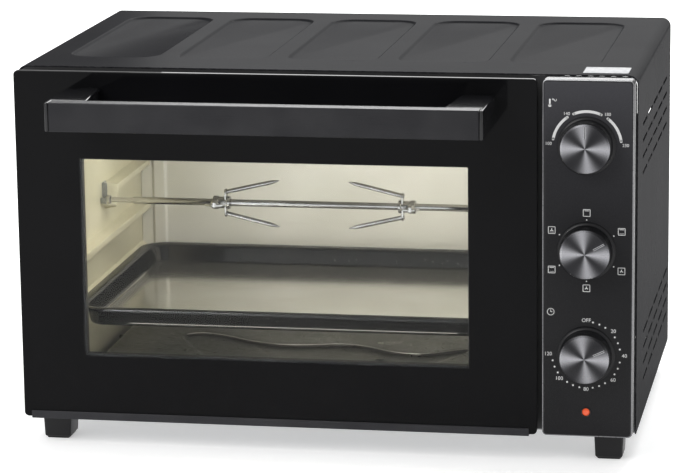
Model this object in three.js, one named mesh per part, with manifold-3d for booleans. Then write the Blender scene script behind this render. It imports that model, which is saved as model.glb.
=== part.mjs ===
// Countertop rotisserie oven: a sheet-metal casing with a drop-down glass door, a control panel with
// three knobs, and a heated cavity with a motor-driven spit. Millimetres, +Z up.
//
// Every piece is placed in casing coordinates: x from the casing's left side, y from its front edge
// towards the back, z from its underside. The top group moves them so that the origin is at the
// middle of the whole oven's footprint, on the surface that the feet stand on.

import * as THREE from 'three';
import { mergeVertices } from 'three/addons/utils/BufferGeometryUtils.js';
import Module from 'manifold-3d';

const wasm = await Module();
wasm.setup();

// ---------------------------------------------------------------- driving dimensions

const WIDTH = 540;
const DEPTH = 340;
const HEIGHT = 312;
const SHEET = 1;
const GAP = 0.3;
const BEND_RADIUS = 8;

const FOOT = { width: 26, depth: 30, height: 25, taper: 1.5, insetX: 11, insetY: 4 };

const TOP_PANEL = {
  count: 5, first: 29, pitch: 98, width: 82, front: 53, back: 302, radius: 22, depth: 1.5,
};
const LOUVRE = { rows: 4, columns: 5, rise: 14.3, pitch: 53, length: 42, height: 3.2 };
const LOUVRE_GROUPS = [{ y: 68, z: 219 }, { y: 86, z: 32 }];

const CAVITY = { left: 32, right: 424, back: 302, bottom: 10, top: 276 };
const RAIL = { reach: 11, height: 8.4, slope: 3, crown: 1, front: 18, back: 290, tops: [91.4, 134] };
const HALF_RAIL = { top: 176, front: 172 };
const BACK_BEAD = { inset: 18, width: 13, depth: 2, end: 10 };
const FLOOR_PLATE = { inset: 8, front: 6, back: 296, height: 26, flangeInset: 2, notch: 6, notchRise: 5 };
const DRAIN = { x: 295, y: 128, radius: 4 };

const HEATER = { radius: 3.4, pinRadius: 1.6, pinLength: 9, overhang: 6, clearance: 0.8 };
const HEATER_Y = { front: 95, rear: 205 };
const HEATER_Z = { upper: 258, lower: 18 };

const TRAY = {
  left: 38, right: 418, front: 12, back: 290, rim: 93.2, depth: 19, lip: 8, wall: 1.2, radius: 26,
};

const SPIT = { y: 150, z: 163.5, radius: 3.2, journal: 2.3, collar: 4.2, square: 5.6 };
const SPIT_X = { tip: 33.6, bracket: 37.2, collar: 41, shoulder: 62, square: 404, end: 421 };
const SOCKET = { front: 409, radius: 8, depth: 15, slope: 2, stub: 4, back: 438, wallGap: 1.2 };
const SPIT_MOTOR = { gap: 6, radius: 26, depth: 22 };
const BRACKET = {
  clearance: 0.35, thickness: 1.4, lip: 2, height: 15, plate: 1.2, plateWidth: 14, plateGap: 0.2,
};
const FORK = {
  hub: 8, hubLength: 16, spread: 17, wire: 2, reach: 62, tip: 12, left: 146, right: 318,
  screw: -4.5,
};
const FORK_BRIDGE = { x: [-2, 3], past: 2, half: 2 };
const SCREW = {
  radius: 2, head: 5.5, headGap: 0.8, wing: 9, wingThickness: 2, wingGap: 2, wingRise: 3,
  height: 14, shankGap: 1.6,
};

const LAMP = { y: 85, z: 222, radius: 19, housing: 22, depth: 42, floor: 8 };
const BULB = [[0, 431], [6, 433], [9, 439], [9, 444], [5.5, 452], [5.5, 459], [0, 459]];
const LAMP_LENS = [[0, 419], [12, 420], [LAMP.radius, 423], [LAMP.radius, 428], [0, 428]];
const FAN = { y: 222, z: 200, radius: 37, housing: 43, depth: 20, blades: 8, shaft: 3 };
const FAN_SLOT = { rows: 3, rise: 10, height: 4, reach: 34, bridge: 5 };
const FAN_WHEEL = {
  disc: [6, 7], hub: [5, 15], shaft: [14, 36], blade: [6.5, 16], hubRadius: 9, bladeRoot: 5,
  rim: 2, bladeHalf: 0.6,
};
const FAN_MOTOR = { half: 28, gap: 4, depth: 40, bore: 16, housingGap: 1.5 };

const PANEL = { left: 460.5, right: 538.2, bottom: 0.6, top: 310.4, wall: 2, radius: 4, faceInset: 1.8 };
const FACE_FRONT = -18;
const FACE_THICKNESS = 1;
const KNOB_X = 498.6;
const KNOBS = [
  { name: 'temperature', z: 254.7, pointer: 0 },
  { name: 'function', z: 164.3, pointer: 60 },
  { name: 'timer', z: 73.4, pointer: 65 },
];
const KNOB = {
  skirt: 24.7, skirtFront: 2.4, waist: 22.3, waistFront: 3.2, front: 21.2, height: 16.2,
  socket: 12.5,
};
const KNOB_CAP = {
  radius: 20.8, thickness: 1.2, chamfer: 0.6, edge: 0.5, groove: 0.6, grooveDepth: 0.4,
  grooveFrom: 8,
};
const SPINDLE = { radius: 3, back: 14, front: 12, panelHole: 5 };
const CONTROL = {
  front: 1.6, thermostat: 15, thermostatDepth: 24, selector: 19, selectorDepth: 30, timer: 27,
  timerDepth: 34,
};
const INDICATOR = {
  z: 23, radius: 3.3, domeRadius: 2.2, front: -19.6, shoulder: -19.2, back: -6, frameGap: 1,
};

const GLASS = { left: 1, right: 456.5, bottom: 1.3, top: 310.4, front: -18, thickness: 4, radius: 4 };
const FRAME = { left: 12, right: 445, bottom: 3, top: 300, back: -2.2 };
const WINDOW = { left: 58, right: 398, bottom: 58, top: 234 };
const RAIL_STRIP = { left: 8, right: 449.5, height: 7, thickness: 1 };
const HINGE_EAR = {
  back: -0.7, thickness: 2, flange: [-1.3, -0.1], flangeWidth: 7, below: 1, rise: 22, leftEar: 8,
  leftFlange: 3, gap: 2,
};
const HINGE = { y: -10, z: 8, pin: 1.9, ear: 3.2, length: 10, pinStart: 7, pinInside: 5 };
const HANDLE = {
  left: 50.2, right: 421.3, bottom: 271.6, top: 296.4, front: -97, barDepth: 14, post: 33, cap: 3,
  wall: 2.5,
};

const GLAND = { x: 482, z: 34, flange: 10, body: 7.5, bore: 4.2, out: 8, flangeThickness: 2 };
const TERMINAL_BLOCK = { x: [466, 498], y: [296, 312], z: [4, 22] };

const REACH = 5; // how far a cutting tool runs past the surface that it cuts
const BASE_VENT = { count: 8, first: 452, pitch: 10, width: 4, y: [90, 150] };
const UPPER_VENT = { count: 8, first: 440, pitch: 11, width: 5, z: [220, 280] };
const LOWER_VENT = { count: 8, first: 60, pitch: 40, width: 26, z: [30, 34] };
const END_SHEET = { front: 0.2, setIn: 1.5, mouthLap: 2, spindleHole: 5 };
const BASE_INSET = 2;
const WALL_FRONT = 1.5;

// ---------------------------------------------------------------- finishes

const FINISH = {
  blackPaint: { color: 0x2b2b2e, roughness: 0.45, metalness: 0.3 },
  blackPlastic: { color: 0x18181a, roughness: 0.4, metalness: 0 },
  glossBlack: { color: 0x0c0c0e, roughness: 0.12, metalness: 0 },
  aluminisedSteel: { color: 0xb9b39c, roughness: 0.35, metalness: 0.9 },
  galvanised: { color: 0x9a9c9c, roughness: 0.45, metalness: 0.8 },
  enamel: { color: 0x1c1d1c, roughness: 0.25, metalness: 0.1 },
  chrome: { color: 0xc9cacc, roughness: 0.15, metalness: 1 },
  darkMetal: { color: 0x4a4b50, roughness: 0.35, metalness: 0.9 },
  glass: { color: 0xbfc6c8, roughness: 0.05, metalness: 0 },
  redLens: { color: 0xb5402c, roughness: 0.2, metalness: 0 },
  ceramic: { color: 0xd8d2c4, roughness: 0.6, metalness: 0 },
};

// ---------------------------------------------------------------- geometry helpers

/** Signed volume of a closed triangle mesh: negative when its faces point inwards. */
function signedVolume(geometry) {
  const position = geometry.attributes.position;
  const a = new THREE.Vector3();
  const b = new THREE.Vector3();
  const c = new THREE.Vector3();
  let sum = 0;
  for (let i = 0; i < geometry.index.count; i += 3) {
    a.fromBufferAttribute(position, geometry.index.getX(i));
    b.fromBufferAttribute(position, geometry.index.getX(i + 1));
    c.fromBufferAttribute(position, geometry.index.getX(i + 2));
    sum += a.dot(b.cross(c)) / 6;
  }
  return sum;
}

/** Bare geometry with shared vertices and its faces pointing out. */
function closed(geometry) {
  const bare = geometry.clone();
  bare.deleteAttribute('normal');
  bare.deleteAttribute('uv');
  const merged = mergeVertices(bare);
  if (signedVolume(merged) < 0) merged.index.array.reverse();
  return merged;
}

/** A geometry as a solid for booleans. */
function toSolid(geometry) {
  const merged = closed(geometry);
  const vertProperties = new Float32Array(merged.attributes.position.array);
  const triVerts = new Uint32Array(merged.index.array);
  return new wasm.Manifold(new wasm.Mesh({ numProp: 3, vertProperties, triVerts }));
}

/** A solid as a geometry. */
function toGeometry(solid) {
  const { vertProperties, triVerts } = solid.getMesh();
  const geometry = new THREE.BufferGeometry();
  geometry.setAttribute('position', new THREE.BufferAttribute(vertProperties, 3));
  geometry.setIndex(new THREE.BufferAttribute(triVerts, 1));
  return geometry;
}

/** All the pieces joined into one. */
function join(...pieces) {
  return toGeometry(pieces.map(toSolid).reduce((sum, solid) => sum.add(solid)));
}

/** The base with every tool cut away. */
function cut(base, ...tools) {
  return toGeometry(tools.map(toSolid).reduce((rest, tool) => rest.subtract(tool), toSolid(base)));
}

/** An upright box between two limits on each axis. */
function box(x, y, z) {
  const geometry = new THREE.BoxGeometry(x[1] - x[0], y[1] - y[0], z[1] - z[0]);
  return geometry.translate((x[0] + x[1]) / 2, (y[0] + y[1]) / 2, (z[0] + z[1]) / 2);
}

/** A rounded rectangle drawn on two axes. */
function roundedRectangle(u, v, radius) {
  const shape = new THREE.Shape();
  shape.absarc(u[1] - radius, v[0] + radius, radius, -Math.PI / 2, 0);
  shape.absarc(u[1] - radius, v[1] - radius, radius, 0, Math.PI / 2);
  shape.absarc(u[0] + radius, v[1] - radius, radius, Math.PI / 2, Math.PI);
  shape.absarc(u[0] + radius, v[0] + radius, radius, Math.PI, 1.5 * Math.PI);
  return shape;
}

function extrude(shape, depth, curveSegments) {
  return new THREE.ExtrudeGeometry(shape, { depth, curveSegments, bevelEnabled: false });
}

/** A shape on the x and y axes, extruded between two heights. */
function extrudeZ(shape, z, curveSegments = 4) {
  return extrude(shape, z[1] - z[0], curveSegments).translate(0, 0, z[0]);
}

/** A shape on the x and z axes, extruded between two depths. */
function extrudeY(shape, y, curveSegments = 4) {
  return extrude(shape, y[1] - y[0], curveSegments).rotateX(Math.PI / 2).translate(0, y[1], 0);
}

/** A shape on the y and z axes, extruded between two widths. */
function extrudeX(shape, x, curveSegments = 4) {
  const turn = new THREE.Matrix4().makeBasis(
    new THREE.Vector3(0, 1, 0),
    new THREE.Vector3(0, 0, 1),
    new THREE.Vector3(1, 0, 0),
  );
  return extrude(shape, x[1] - x[0], curveSegments).applyMatrix4(turn).translate(x[0], 0, 0);
}

/** A closed polygon from [u, v] corners. */
function polygon(corners) {
  return new THREE.Shape(corners.map(([u, v]) => new THREE.Vector2(u, v)));
}

/** A profile of [radius, distance] points turned about the x axis through (y, z). */
function turnedX(profile, y, z, segments = 16) {
  const points = profile.map(([radius, along]) => new THREE.Vector2(radius, along));
  return new THREE.LatheGeometry(points, segments).rotateZ(-Math.PI / 2).translate(0, y, z);
}

/** A profile of [radius, distance] points turned about the y axis through (x, z). */
function turnedY(profile, x = 0, z = 0, segments = 16) {
  const points = profile.map(([radius, along]) => new THREE.Vector2(radius, along));
  return new THREE.LatheGeometry(points, segments).translate(x, 0, z);
}

/** A round bar along x. */
function barX(radius, x, y, z, segments = 12) {
  return turnedX([[0, x[0]], [radius, x[0]], [radius, x[1]], [0, x[1]]], y, z, segments);
}

/** A round bar along y. */
function barY(radius, y, x, z, segments = 12) {
  return turnedY([[0, y[0]], [radius, y[0]], [radius, y[1]], [0, y[1]]], x, z, segments);
}

/** A round bar along z. */
function barZ(radius, z, x, y, segments = 12) {
  return barY(radius, z, 0, 0, segments).rotateX(Math.PI / 2).translate(x, y, 0);
}

/** Adds one named mesh with its own material to a group. */
function addPart(group, name, geometry, finish) {
  const mesh = new THREE.Mesh(closed(geometry), new THREE.MeshStandardMaterial(finish));
  mesh.name = name;
  group.add(mesh);
  return mesh;
}

// ---------------------------------------------------------------- casing

/** Places of the louvre slots of one group in the right side, as box limits on y and z. */
function louvreSlots(group) {
  const slots = [];
  for (let row = 0; row < LOUVRE.rows; row += 1) {
    for (let column = 0; column < LOUVRE.columns; column += 1) {
      const y = group.y + column * LOUVRE.pitch;
      const z = group.z + row * LOUVRE.rise;
      slots.push({
        y: [y - LOUVRE.length / 2, y + LOUVRE.length / 2],
        z: [z - LOUVRE.height / 2, z + LOUVRE.height / 2],
      });
    }
  }
  return slots;
}

/** Left side, top and right side bent from one sheet. */
function outerCover() {
  const outline = new THREE.Shape();
  const inner = BEND_RADIUS - SHEET;
  outline.moveTo(WIDTH, 0);
  outline.absarc(WIDTH - BEND_RADIUS, HEIGHT - BEND_RADIUS, BEND_RADIUS, 0, Math.PI / 2);
  outline.absarc(BEND_RADIUS, HEIGHT - BEND_RADIUS, BEND_RADIUS, Math.PI / 2, Math.PI);
  outline.lineTo(0, 0);
  outline.lineTo(SHEET, 0);
  outline.absarc(BEND_RADIUS, HEIGHT - BEND_RADIUS, inner, Math.PI, Math.PI / 2, true);
  outline.absarc(WIDTH - BEND_RADIUS, HEIGHT - BEND_RADIUS, inner, Math.PI / 2, 0, true);
  outline.lineTo(WIDTH - SHEET, 0);

  const pads = [];
  const pockets = [];
  for (let i = 0; i < TOP_PANEL.count; i += 1) {
    const left = TOP_PANEL.first + i * TOP_PANEL.pitch;
    const x = [left, left + TOP_PANEL.width];
    const y = [TOP_PANEL.front, TOP_PANEL.back];
    const pad = roundedRectangle([x[0] - SHEET, x[1] + SHEET], [y[0] - SHEET, y[1] + SHEET], TOP_PANEL.radius);
    pads.push(extrudeZ(pad, [HEIGHT - SHEET - TOP_PANEL.depth, HEIGHT - SHEET / 2]));
    pockets.push(extrudeZ(roundedRectangle(x, y, TOP_PANEL.radius), [HEIGHT - TOP_PANEL.depth, HEIGHT + SHEET]));
  }
  const slots = LOUVRE_GROUPS.flatMap(louvreSlots);
  const louvres = slots.map((slot) => box([WIDTH - 2 * SHEET, WIDTH + SHEET], slot.y, slot.z));
  return cut(join(extrudeY(outline, [0, DEPTH]), ...pads), ...pockets, ...louvres);
}

/** Evenly spaced slots cut through a sheet, as box limits on x. */
function ventSlots(vent) {
  return Array.from({ length: vent.count }, (_, i) => {
    const start = vent.first + i * vent.pitch;
    return [start, start + vent.width];
  });
}

function basePan() {
  const y = [BASE_INSET, DEPTH - BASE_INSET];
  const plate = box([SHEET + GAP, WIDTH - SHEET - GAP], y, [END_SHEET.front, END_SHEET.front + SHEET]);
  const slots = ventSlots(BASE_VENT).map((x) => box(x, BASE_VENT.y, [-REACH, REACH]));
  return cut(plate, ...slots);
}

/** Outline of a sheet that closes the front or back of the cover. */
function endSheetOutline() {
  const z = [SHEET + 2 * GAP, HEIGHT - SHEET - GAP];
  return roundedRectangle([SHEET + GAP, WIDTH - SHEET - GAP], z, BEND_RADIUS);
}

function backPanel() {
  const plate = extrudeY(endSheetOutline(), [DEPTH - END_SHEET.setIn, DEPTH - END_SHEET.setIn + SHEET]);
  const through = [DEPTH - REACH, DEPTH + REACH];
  const upper = ventSlots(UPPER_VENT).map((x) => box(x, through, UPPER_VENT.z));
  const lower = ventSlots(LOWER_VENT).map((x) => box(x, through, LOWER_VENT.z));
  const hole = barY(GLAND.body + GAP, through, GLAND.x, GLAND.z, 20);
  return cut(plate, ...upper, ...lower, hole);
}

/** Front sheet with the oven mouth, and holes for the control spindles and pilot lamp. */
function frontFrame() {
  const plate = extrudeY(endSheetOutline(), [END_SHEET.front, END_SHEET.front + SHEET]);
  const through = [-REACH, REACH];
  const lap = END_SHEET.mouthLap;
  const mouth = box([CAVITY.left + lap, CAVITY.right - lap], through, [CAVITY.bottom + lap, CAVITY.top - lap]);
  const holes = KNOBS.map((knob) => barY(END_SHEET.spindleHole, through, KNOB_X, knob.z));
  const lampHole = barY(INDICATOR.radius + INDICATOR.frameGap, through, KNOB_X, INDICATOR.z);
  return cut(plate, mouth, ...holes, lampHole);
}

/** A foot, wider at the top, standing below its own origin. */
function foot() {
  const half = FOOT.width / 2;
  const outline = polygon([
    [-half + FOOT.taper, -FOOT.height],
    [half - FOOT.taper, -FOOT.height],
    [half, -0.1],
    [-half, -0.1],
  ]);
  return extrudeY(outline, [-FOOT.depth / 2, FOOT.depth / 2]);
}

/** Flanged bush that the mains lead passes through. */
function cordGland() {
  const inside = DEPTH - GLAND.out;
  const seat = DEPTH - END_SHEET.setIn + SHEET + GAP;
  const profile = [
    [GLAND.bore, inside],
    [GLAND.body, inside],
    [GLAND.body, seat],
    [GLAND.flange, seat],
    [GLAND.flange, seat + GLAND.flangeThickness],
    [GLAND.body, DEPTH + GLAND.out],
    [GLAND.bore, DEPTH + GLAND.out],
    [GLAND.bore, inside],
  ];
  return turnedY(profile, GLAND.x, GLAND.z, 20);
}

function addCasing(group) {
  addPart(group, 'outer_cover', outerCover(), FINISH.blackPaint);
  addPart(group, 'base_pan', basePan(), FINISH.galvanised);
  addPart(group, 'back_panel', backPanel(), FINISH.blackPaint);
  addPart(group, 'front_frame', frontFrame(), FINISH.blackPaint);
  const footX = { left: FOOT.insetX + FOOT.width / 2, right: WIDTH - FOOT.insetX - FOOT.width / 2 };
  const footY = { front: FOOT.insetY + FOOT.depth / 2, rear: DEPTH - FOOT.insetY - FOOT.depth / 2 };
  for (const [row, y] of Object.entries(footY)) {
    for (const [side, x] of Object.entries(footX)) {
      addPart(group, `foot_${row}_${side}`, foot(), FINISH.blackPlastic).position.set(x, y, 0);
    }
  }
  addPart(group, 'cord_gland', cordGland(), FINISH.blackPlastic);
  addPart(group, 'terminal_block', box(TERMINAL_BLOCK.x, TERMINAL_BLOCK.y, TERMINAL_BLOCK.z), FINISH.ceramic);
}

// ---------------------------------------------------------------- cavity

/** One pressed tray guide on a side wall; side is 1 for the left wall and -1 for the right one. */
function trayGuide(side, top, front) {
  const wall = side > 0 ? CAVITY.left : CAVITY.right;
  const reach = wall + side * RAIL.reach;
  const outline = polygon([
    [wall - side * SHEET / 2, top - RAIL.height],
    [reach, top - RAIL.height + RAIL.slope],
    [reach, top - RAIL.crown],
    [wall - side * SHEET / 2, top],
  ]);
  return extrudeY(outline, [front, RAIL.back]);
}

/** A side wall sheet with its tray guides, before its holes. */
function sideWall(side) {
  const x = side > 0 ? [CAVITY.left - SHEET, CAVITY.left] : [CAVITY.right, CAVITY.right + SHEET];
  const sheet = box(x, [WALL_FRONT, CAVITY.back + SHEET], [CAVITY.bottom - SHEET, CAVITY.top + SHEET]);
  const guides = RAIL.tops.map((top) => trayGuide(side, top, RAIL.front));
  return join(sheet, ...guides);
}

/** Clearance holes for the four heating elements in a side wall. */
function heaterHoles(x) {
  const holes = [];
  for (const y of Object.values(HEATER_Y)) {
    for (const z of Object.values(HEATER_Z)) {
      holes.push(barX(HEATER.radius + HEATER.clearance, [x - REACH, x + REACH], y, z));
    }
  }
  return holes;
}

function cavityLeftWall() {
  const upper = trayGuide(1, HALF_RAIL.top, HALF_RAIL.front);
  return cut(join(sideWall(1), upper), ...heaterHoles(CAVITY.left));
}

/** Rows of slots over the fan, each as long as the fan is wide at that height. */
function fanSlots() {
  const slots = [];
  const through = [CAVITY.right - REACH, CAVITY.right + REACH];
  const bridge = FAN_SLOT.bridge / 2;
  for (let row = -FAN_SLOT.rows; row <= FAN_SLOT.rows; row += 1) {
    const rise = row * FAN_SLOT.rise;
    const half = Math.sqrt(FAN_SLOT.reach ** 2 - rise ** 2);
    const z = [FAN.z + rise - FAN_SLOT.height / 2, FAN.z + rise + FAN_SLOT.height / 2];
    slots.push(box(through, [FAN.y - half, FAN.y - bridge], z));
    slots.push(box(through, [FAN.y + bridge, FAN.y + half], z));
  }
  return slots;
}

function cavityRightWall() {
  const through = [CAVITY.right - REACH, CAVITY.right + REACH];
  const socketHole = barX(SOCKET.radius + SOCKET.wallGap, through, SPIT.y, SPIT.z, 20);
  const lampHole = barX(LAMP.radius + GAP, through, LAMP.y, LAMP.z, 24);
  return cut(sideWall(-1), ...heaterHoles(CAVITY.right), ...fanSlots(), socketHole, lampHole);
}

/** Rear sheet of the cavity with an upright bead near each side. */
function cavityBackWall() {
  const left = CAVITY.left + GAP;
  const right = CAVITY.right - GAP;
  const z = [CAVITY.bottom + GAP, CAVITY.top - GAP];
  const sheet = box([left, right], [CAVITY.back, CAVITY.back + SHEET], z);
  const inset = BACK_BEAD.inset;
  const beadY = [CAVITY.back - BACK_BEAD.depth, CAVITY.back + SHEET / 2];
  const beads = [left + inset, right - inset].map((x) => {
    const beadX = [x - BACK_BEAD.width / 2, x + BACK_BEAD.width / 2];
    return box(beadX, beadY, [z[0] + BACK_BEAD.end, z[1] - BACK_BEAD.end]);
  });
  return join(sheet, ...beads);
}

/** Plate over the lower elements, standing on two side flanges that are notched around them. */
function floorPlate() {
  const x = [CAVITY.left + FLOOR_PLATE.inset, CAVITY.right - FLOOR_PLATE.inset];
  const y = [FLOOR_PLATE.front, FLOOR_PLATE.back];
  const top = FLOOR_PLATE.height + SHEET;
  const inset = FLOOR_PLATE.flangeInset;
  const flangeY = [y[0] + inset, y[1] - inset];
  const flangeZ = [CAVITY.bottom + GAP, top - SHEET / 2];
  const body = join(
    box(x, y, [FLOOR_PLATE.height, top]),
    box([x[0] + inset, x[0] + inset + SHEET], flangeY, flangeZ),
    box([x[1] - inset - SHEET, x[1] - inset], flangeY, flangeZ),
  );
  const notches = Object.values(HEATER_Y).map((heater) => {
    const notchY = [heater - FLOOR_PLATE.notch, heater + FLOOR_PLATE.notch];
    const notchZ = [CAVITY.bottom - REACH, HEATER_Z.lower + FLOOR_PLATE.notchRise];
    return box([x[0] - REACH, x[1] + REACH], notchY, notchZ);
  });
  const hole = barZ(DRAIN.radius, [FLOOR_PLATE.height - REACH, top + REACH], DRAIN.x, DRAIN.y);
  return cut(body, ...notches, hole);
}

/** Straight tubular element with a thin terminal at each end. */
function heater(y, z) {
  const left = CAVITY.left - HEATER.overhang;
  const right = CAVITY.right + HEATER.overhang;
  const profile = [
    [0, left - HEATER.pinLength],
    [HEATER.pinRadius, left - HEATER.pinLength],
    [HEATER.pinRadius, left],
    [HEATER.radius, left],
    [HEATER.radius, right],
    [HEATER.pinRadius, right],
    [HEATER.pinRadius, right + HEATER.pinLength],
    [0, right + HEATER.pinLength],
  ];
  return turnedX(profile, y, z, 12);
}

/** Rounded tray with a flat rim that rests on the lowest guides. */
function bakingTray() {
  const rimX = [TRAY.left, TRAY.right];
  const rimY = [TRAY.front, TRAY.back];
  const bodyX = [TRAY.left + TRAY.lip, TRAY.right - TRAY.lip];
  const bodyY = [TRAY.front + TRAY.lip, TRAY.back - TRAY.lip];
  const bottom = TRAY.rim - TRAY.depth;
  const rim = extrudeZ(roundedRectangle(rimX, rimY, TRAY.radius), [TRAY.rim - TRAY.wall, TRAY.rim], 5);
  const body = extrudeZ(roundedRectangle(bodyX, bodyY, TRAY.radius), [bottom, TRAY.rim - TRAY.wall / 2], 5);
  const insideX = [bodyX[0] + TRAY.wall, bodyX[1] - TRAY.wall];
  const insideY = [bodyY[0] + TRAY.wall, bodyY[1] - TRAY.wall];
  const inside = roundedRectangle(insideX, insideY, TRAY.radius - TRAY.wall);
  return cut(join(rim, body), extrudeZ(inside, [bottom + TRAY.wall, TRAY.rim + REACH], 5));
}

function addLamp(group) {
  const back = CAVITY.right + SHEET + GAP;
  const socket = [
    [LAMP.housing - SHEET, back],
    [LAMP.housing, back],
    [LAMP.housing, back + LAMP.depth],
    [0, back + LAMP.depth],
    [0, back + LAMP.depth - LAMP.floor],
    [LAMP.housing - SHEET, back + LAMP.depth - LAMP.floor],
    [LAMP.housing - SHEET, back],
  ];
  addPart(group, 'lamp_housing', turnedX(socket, LAMP.y, LAMP.z, 20), FINISH.galvanised);
  addPart(group, 'lamp_bulb', turnedX(BULB, LAMP.y, LAMP.z, 12), FINISH.glass);
  addPart(group, 'lamp_glass', turnedX(LAMP_LENS, LAMP.y, LAMP.z, 24), FINISH.glass);
}

function addCavity(group) {
  const x = [CAVITY.left + GAP, CAVITY.right - GAP];
  const y = [WALL_FRONT, CAVITY.back - GAP];
  addPart(group, 'cavity_left_wall', cavityLeftWall(), FINISH.aluminisedSteel);
  addPart(group, 'cavity_right_wall', cavityRightWall(), FINISH.aluminisedSteel);
  addPart(group, 'cavity_back_wall', cavityBackWall(), FINISH.aluminisedSteel);
  const ceiling = box(x, y, [CAVITY.top, CAVITY.top + SHEET]);
  addPart(group, 'cavity_ceiling', ceiling, FINISH.aluminisedSteel);
  const floor = box(x, y, [CAVITY.bottom - SHEET, CAVITY.bottom]);
  addPart(group, 'cavity_floor', floor, FINISH.aluminisedSteel);
  addPart(group, 'floor_plate', floorPlate(), FINISH.aluminisedSteel);
  for (const [level, z] of Object.entries(HEATER_Z)) {
    for (const [row, heaterY] of Object.entries(HEATER_Y)) {
      addPart(group, `${level}_heater_${row}`, heater(heaterY, z), FINISH.darkMetal);
    }
  }
  addPart(group, 'baking_tray', bakingTray(), FINISH.enamel);
  addLamp(group);
}

// ---------------------------------------------------------------- convection fan

/** Hub and radial blades on a thin disc, with the shaft that carries them. */
function fanBlade() {
  const behindWall = (limits) => limits.map((x) => CAVITY.right + x);
  const bladeY = [FAN_WHEEL.bladeRoot, FAN.radius - FAN_WHEEL.rim];
  const bladeZ = [-FAN_WHEEL.bladeHalf, FAN_WHEEL.bladeHalf];
  const blades = Array.from({ length: FAN.blades }, (_, i) => {
    const blade = box(behindWall(FAN_WHEEL.blade), bladeY, bladeZ);
    return blade.rotateX((i * 2 * Math.PI) / FAN.blades).translate(0, FAN.y, FAN.z);
  });
  return join(
    barX(FAN.radius, behindWall(FAN_WHEEL.disc), FAN.y, FAN.z, 24),
    barX(FAN_WHEEL.hubRadius, behindWall(FAN_WHEEL.hub), FAN.y, FAN.z, 16),
    barX(FAN.shaft, behindWall(FAN_WHEEL.shaft), FAN.y, FAN.z),
    ...blades,
  );
}

/** Shallow pan behind the wall slots, with a hole for the shaft. */
function fanHousing() {
  const front = CAVITY.right + SHEET + GAP;
  const back = front + FAN.depth;
  const profile = [
    [FAN.housing - SHEET, front],
    [FAN.housing, front],
    [FAN.housing, back],
    [FAN.shaft + FAN_MOTOR.housingGap, back],
    [FAN.shaft + FAN_MOTOR.housingGap, back - SHEET],
    [FAN.housing - SHEET, back - SHEET],
    [FAN.housing - SHEET, front],
  ];
  return turnedX(profile, FAN.y, FAN.z, 24);
}

function fanMotor() {
  const front = CAVITY.right + FAN.depth + FAN_MOTOR.gap;
  const limit = (centre) => [centre - FAN_MOTOR.half, centre + FAN_MOTOR.half];
  const block = box([front, front + FAN_MOTOR.depth], limit(FAN.y), limit(FAN.z));
  return cut(block, barX(FAN.shaft + GAP, [front - REACH, front + FAN_MOTOR.bore], FAN.y, FAN.z));
}

function addFan(group) {
  addPart(group, 'fan_housing', fanHousing(), FINISH.galvanised);
  addPart(group, 'fan_blade', fanBlade(), FINISH.aluminisedSteel);
  addPart(group, 'fan_motor', fanMotor(), FINISH.darkMetal);
}

// ---------------------------------------------------------------- rotisserie

/** Stepped rod with a square end for the drive socket. */
function spitRod() {
  const profile = [
    [0, SPIT_X.tip],
    [SPIT.journal, SPIT_X.tip],
    [SPIT.journal, SPIT_X.bracket + GAP],
    [SPIT.collar, SPIT_X.bracket + GAP],
    [SPIT.collar, SPIT_X.collar],
    [SPIT.journal, SPIT_X.collar],
    [SPIT.journal, SPIT_X.shoulder],
    [SPIT.radius, SPIT_X.shoulder + 1],
    [SPIT.radius, SPIT_X.square + 1],
    [0, SPIT_X.square + 1],
  ];
  const half = SPIT.square / 2;
  const end = box([SPIT_X.square, SPIT_X.end], [SPIT.y - half, SPIT.y + half], [SPIT.z - half, SPIT.z + half]);
  return join(turnedX(profile, SPIT.y, SPIT.z), end);
}

/** Driven cup on the motor's output, with a square hole for the rod. */
function driveSocket() {
  const profile = [
    [0, SOCKET.front],
    [SOCKET.radius, SOCKET.front],
    [SOCKET.radius, SOCKET.front + SOCKET.depth],
    [SOCKET.stub, SOCKET.front + SOCKET.depth + SOCKET.slope],
    [SOCKET.stub, SOCKET.back],
    [0, SOCKET.back],
  ];
  const half = SPIT.square / 2 + GAP;
  const hole = box(
    [SOCKET.front - REACH, SPIT_X.end + 1],
    [SPIT.y - half, SPIT.y + half],
    [SPIT.z - half, SPIT.z + half],
  );
  return cut(turnedX(profile, SPIT.y, SPIT.z), hole);
}

/** Gear motor behind the right wall that turns the socket. */
function spitMotor() {
  const front = SOCKET.front + SOCKET.depth + SPIT_MOTOR.gap;
  const body = barX(SPIT_MOTOR.radius, [front, front + SPIT_MOTOR.depth], SPIT.y, SPIT.z, 20);
  return cut(body, barX(SOCKET.stub + GAP, [front - REACH, SOCKET.back + 1], SPIT.y, SPIT.z));
}

/** J-shaped cradle on the left wall that the rod's journal turns in. */
function spitBracket() {
  const inner = SPIT.journal + BRACKET.clearance;
  const outer = inner + BRACKET.thickness;
  const outline = new THREE.Shape();
  outline.moveTo(inner, BRACKET.height);
  outline.lineTo(inner, 0);
  outline.absarc(0, 0, inner, 0, -Math.PI, true);
  outline.lineTo(-inner, BRACKET.lip);
  outline.lineTo(-outer, BRACKET.lip);
  outline.absarc(0, 0, outer, -Math.PI, 0, false);
  outline.lineTo(outer, BRACKET.height);
  const hook = extrudeX(outline, [CAVITY.left + GAP, SPIT_X.bracket - GAP], 6).translate(0, SPIT.y, SPIT.z);
  const left = CAVITY.left + GAP / 2;
  const plateY = [SPIT.y + inner + BRACKET.plateGap, SPIT.y + BRACKET.plateWidth];
  const plateZ = [SPIT.z + BRACKET.lip, SPIT.z + BRACKET.height];
  const plate = box([left, left + BRACKET.plate], plateY, plateZ);
  return join(hook, plate);
}

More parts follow.
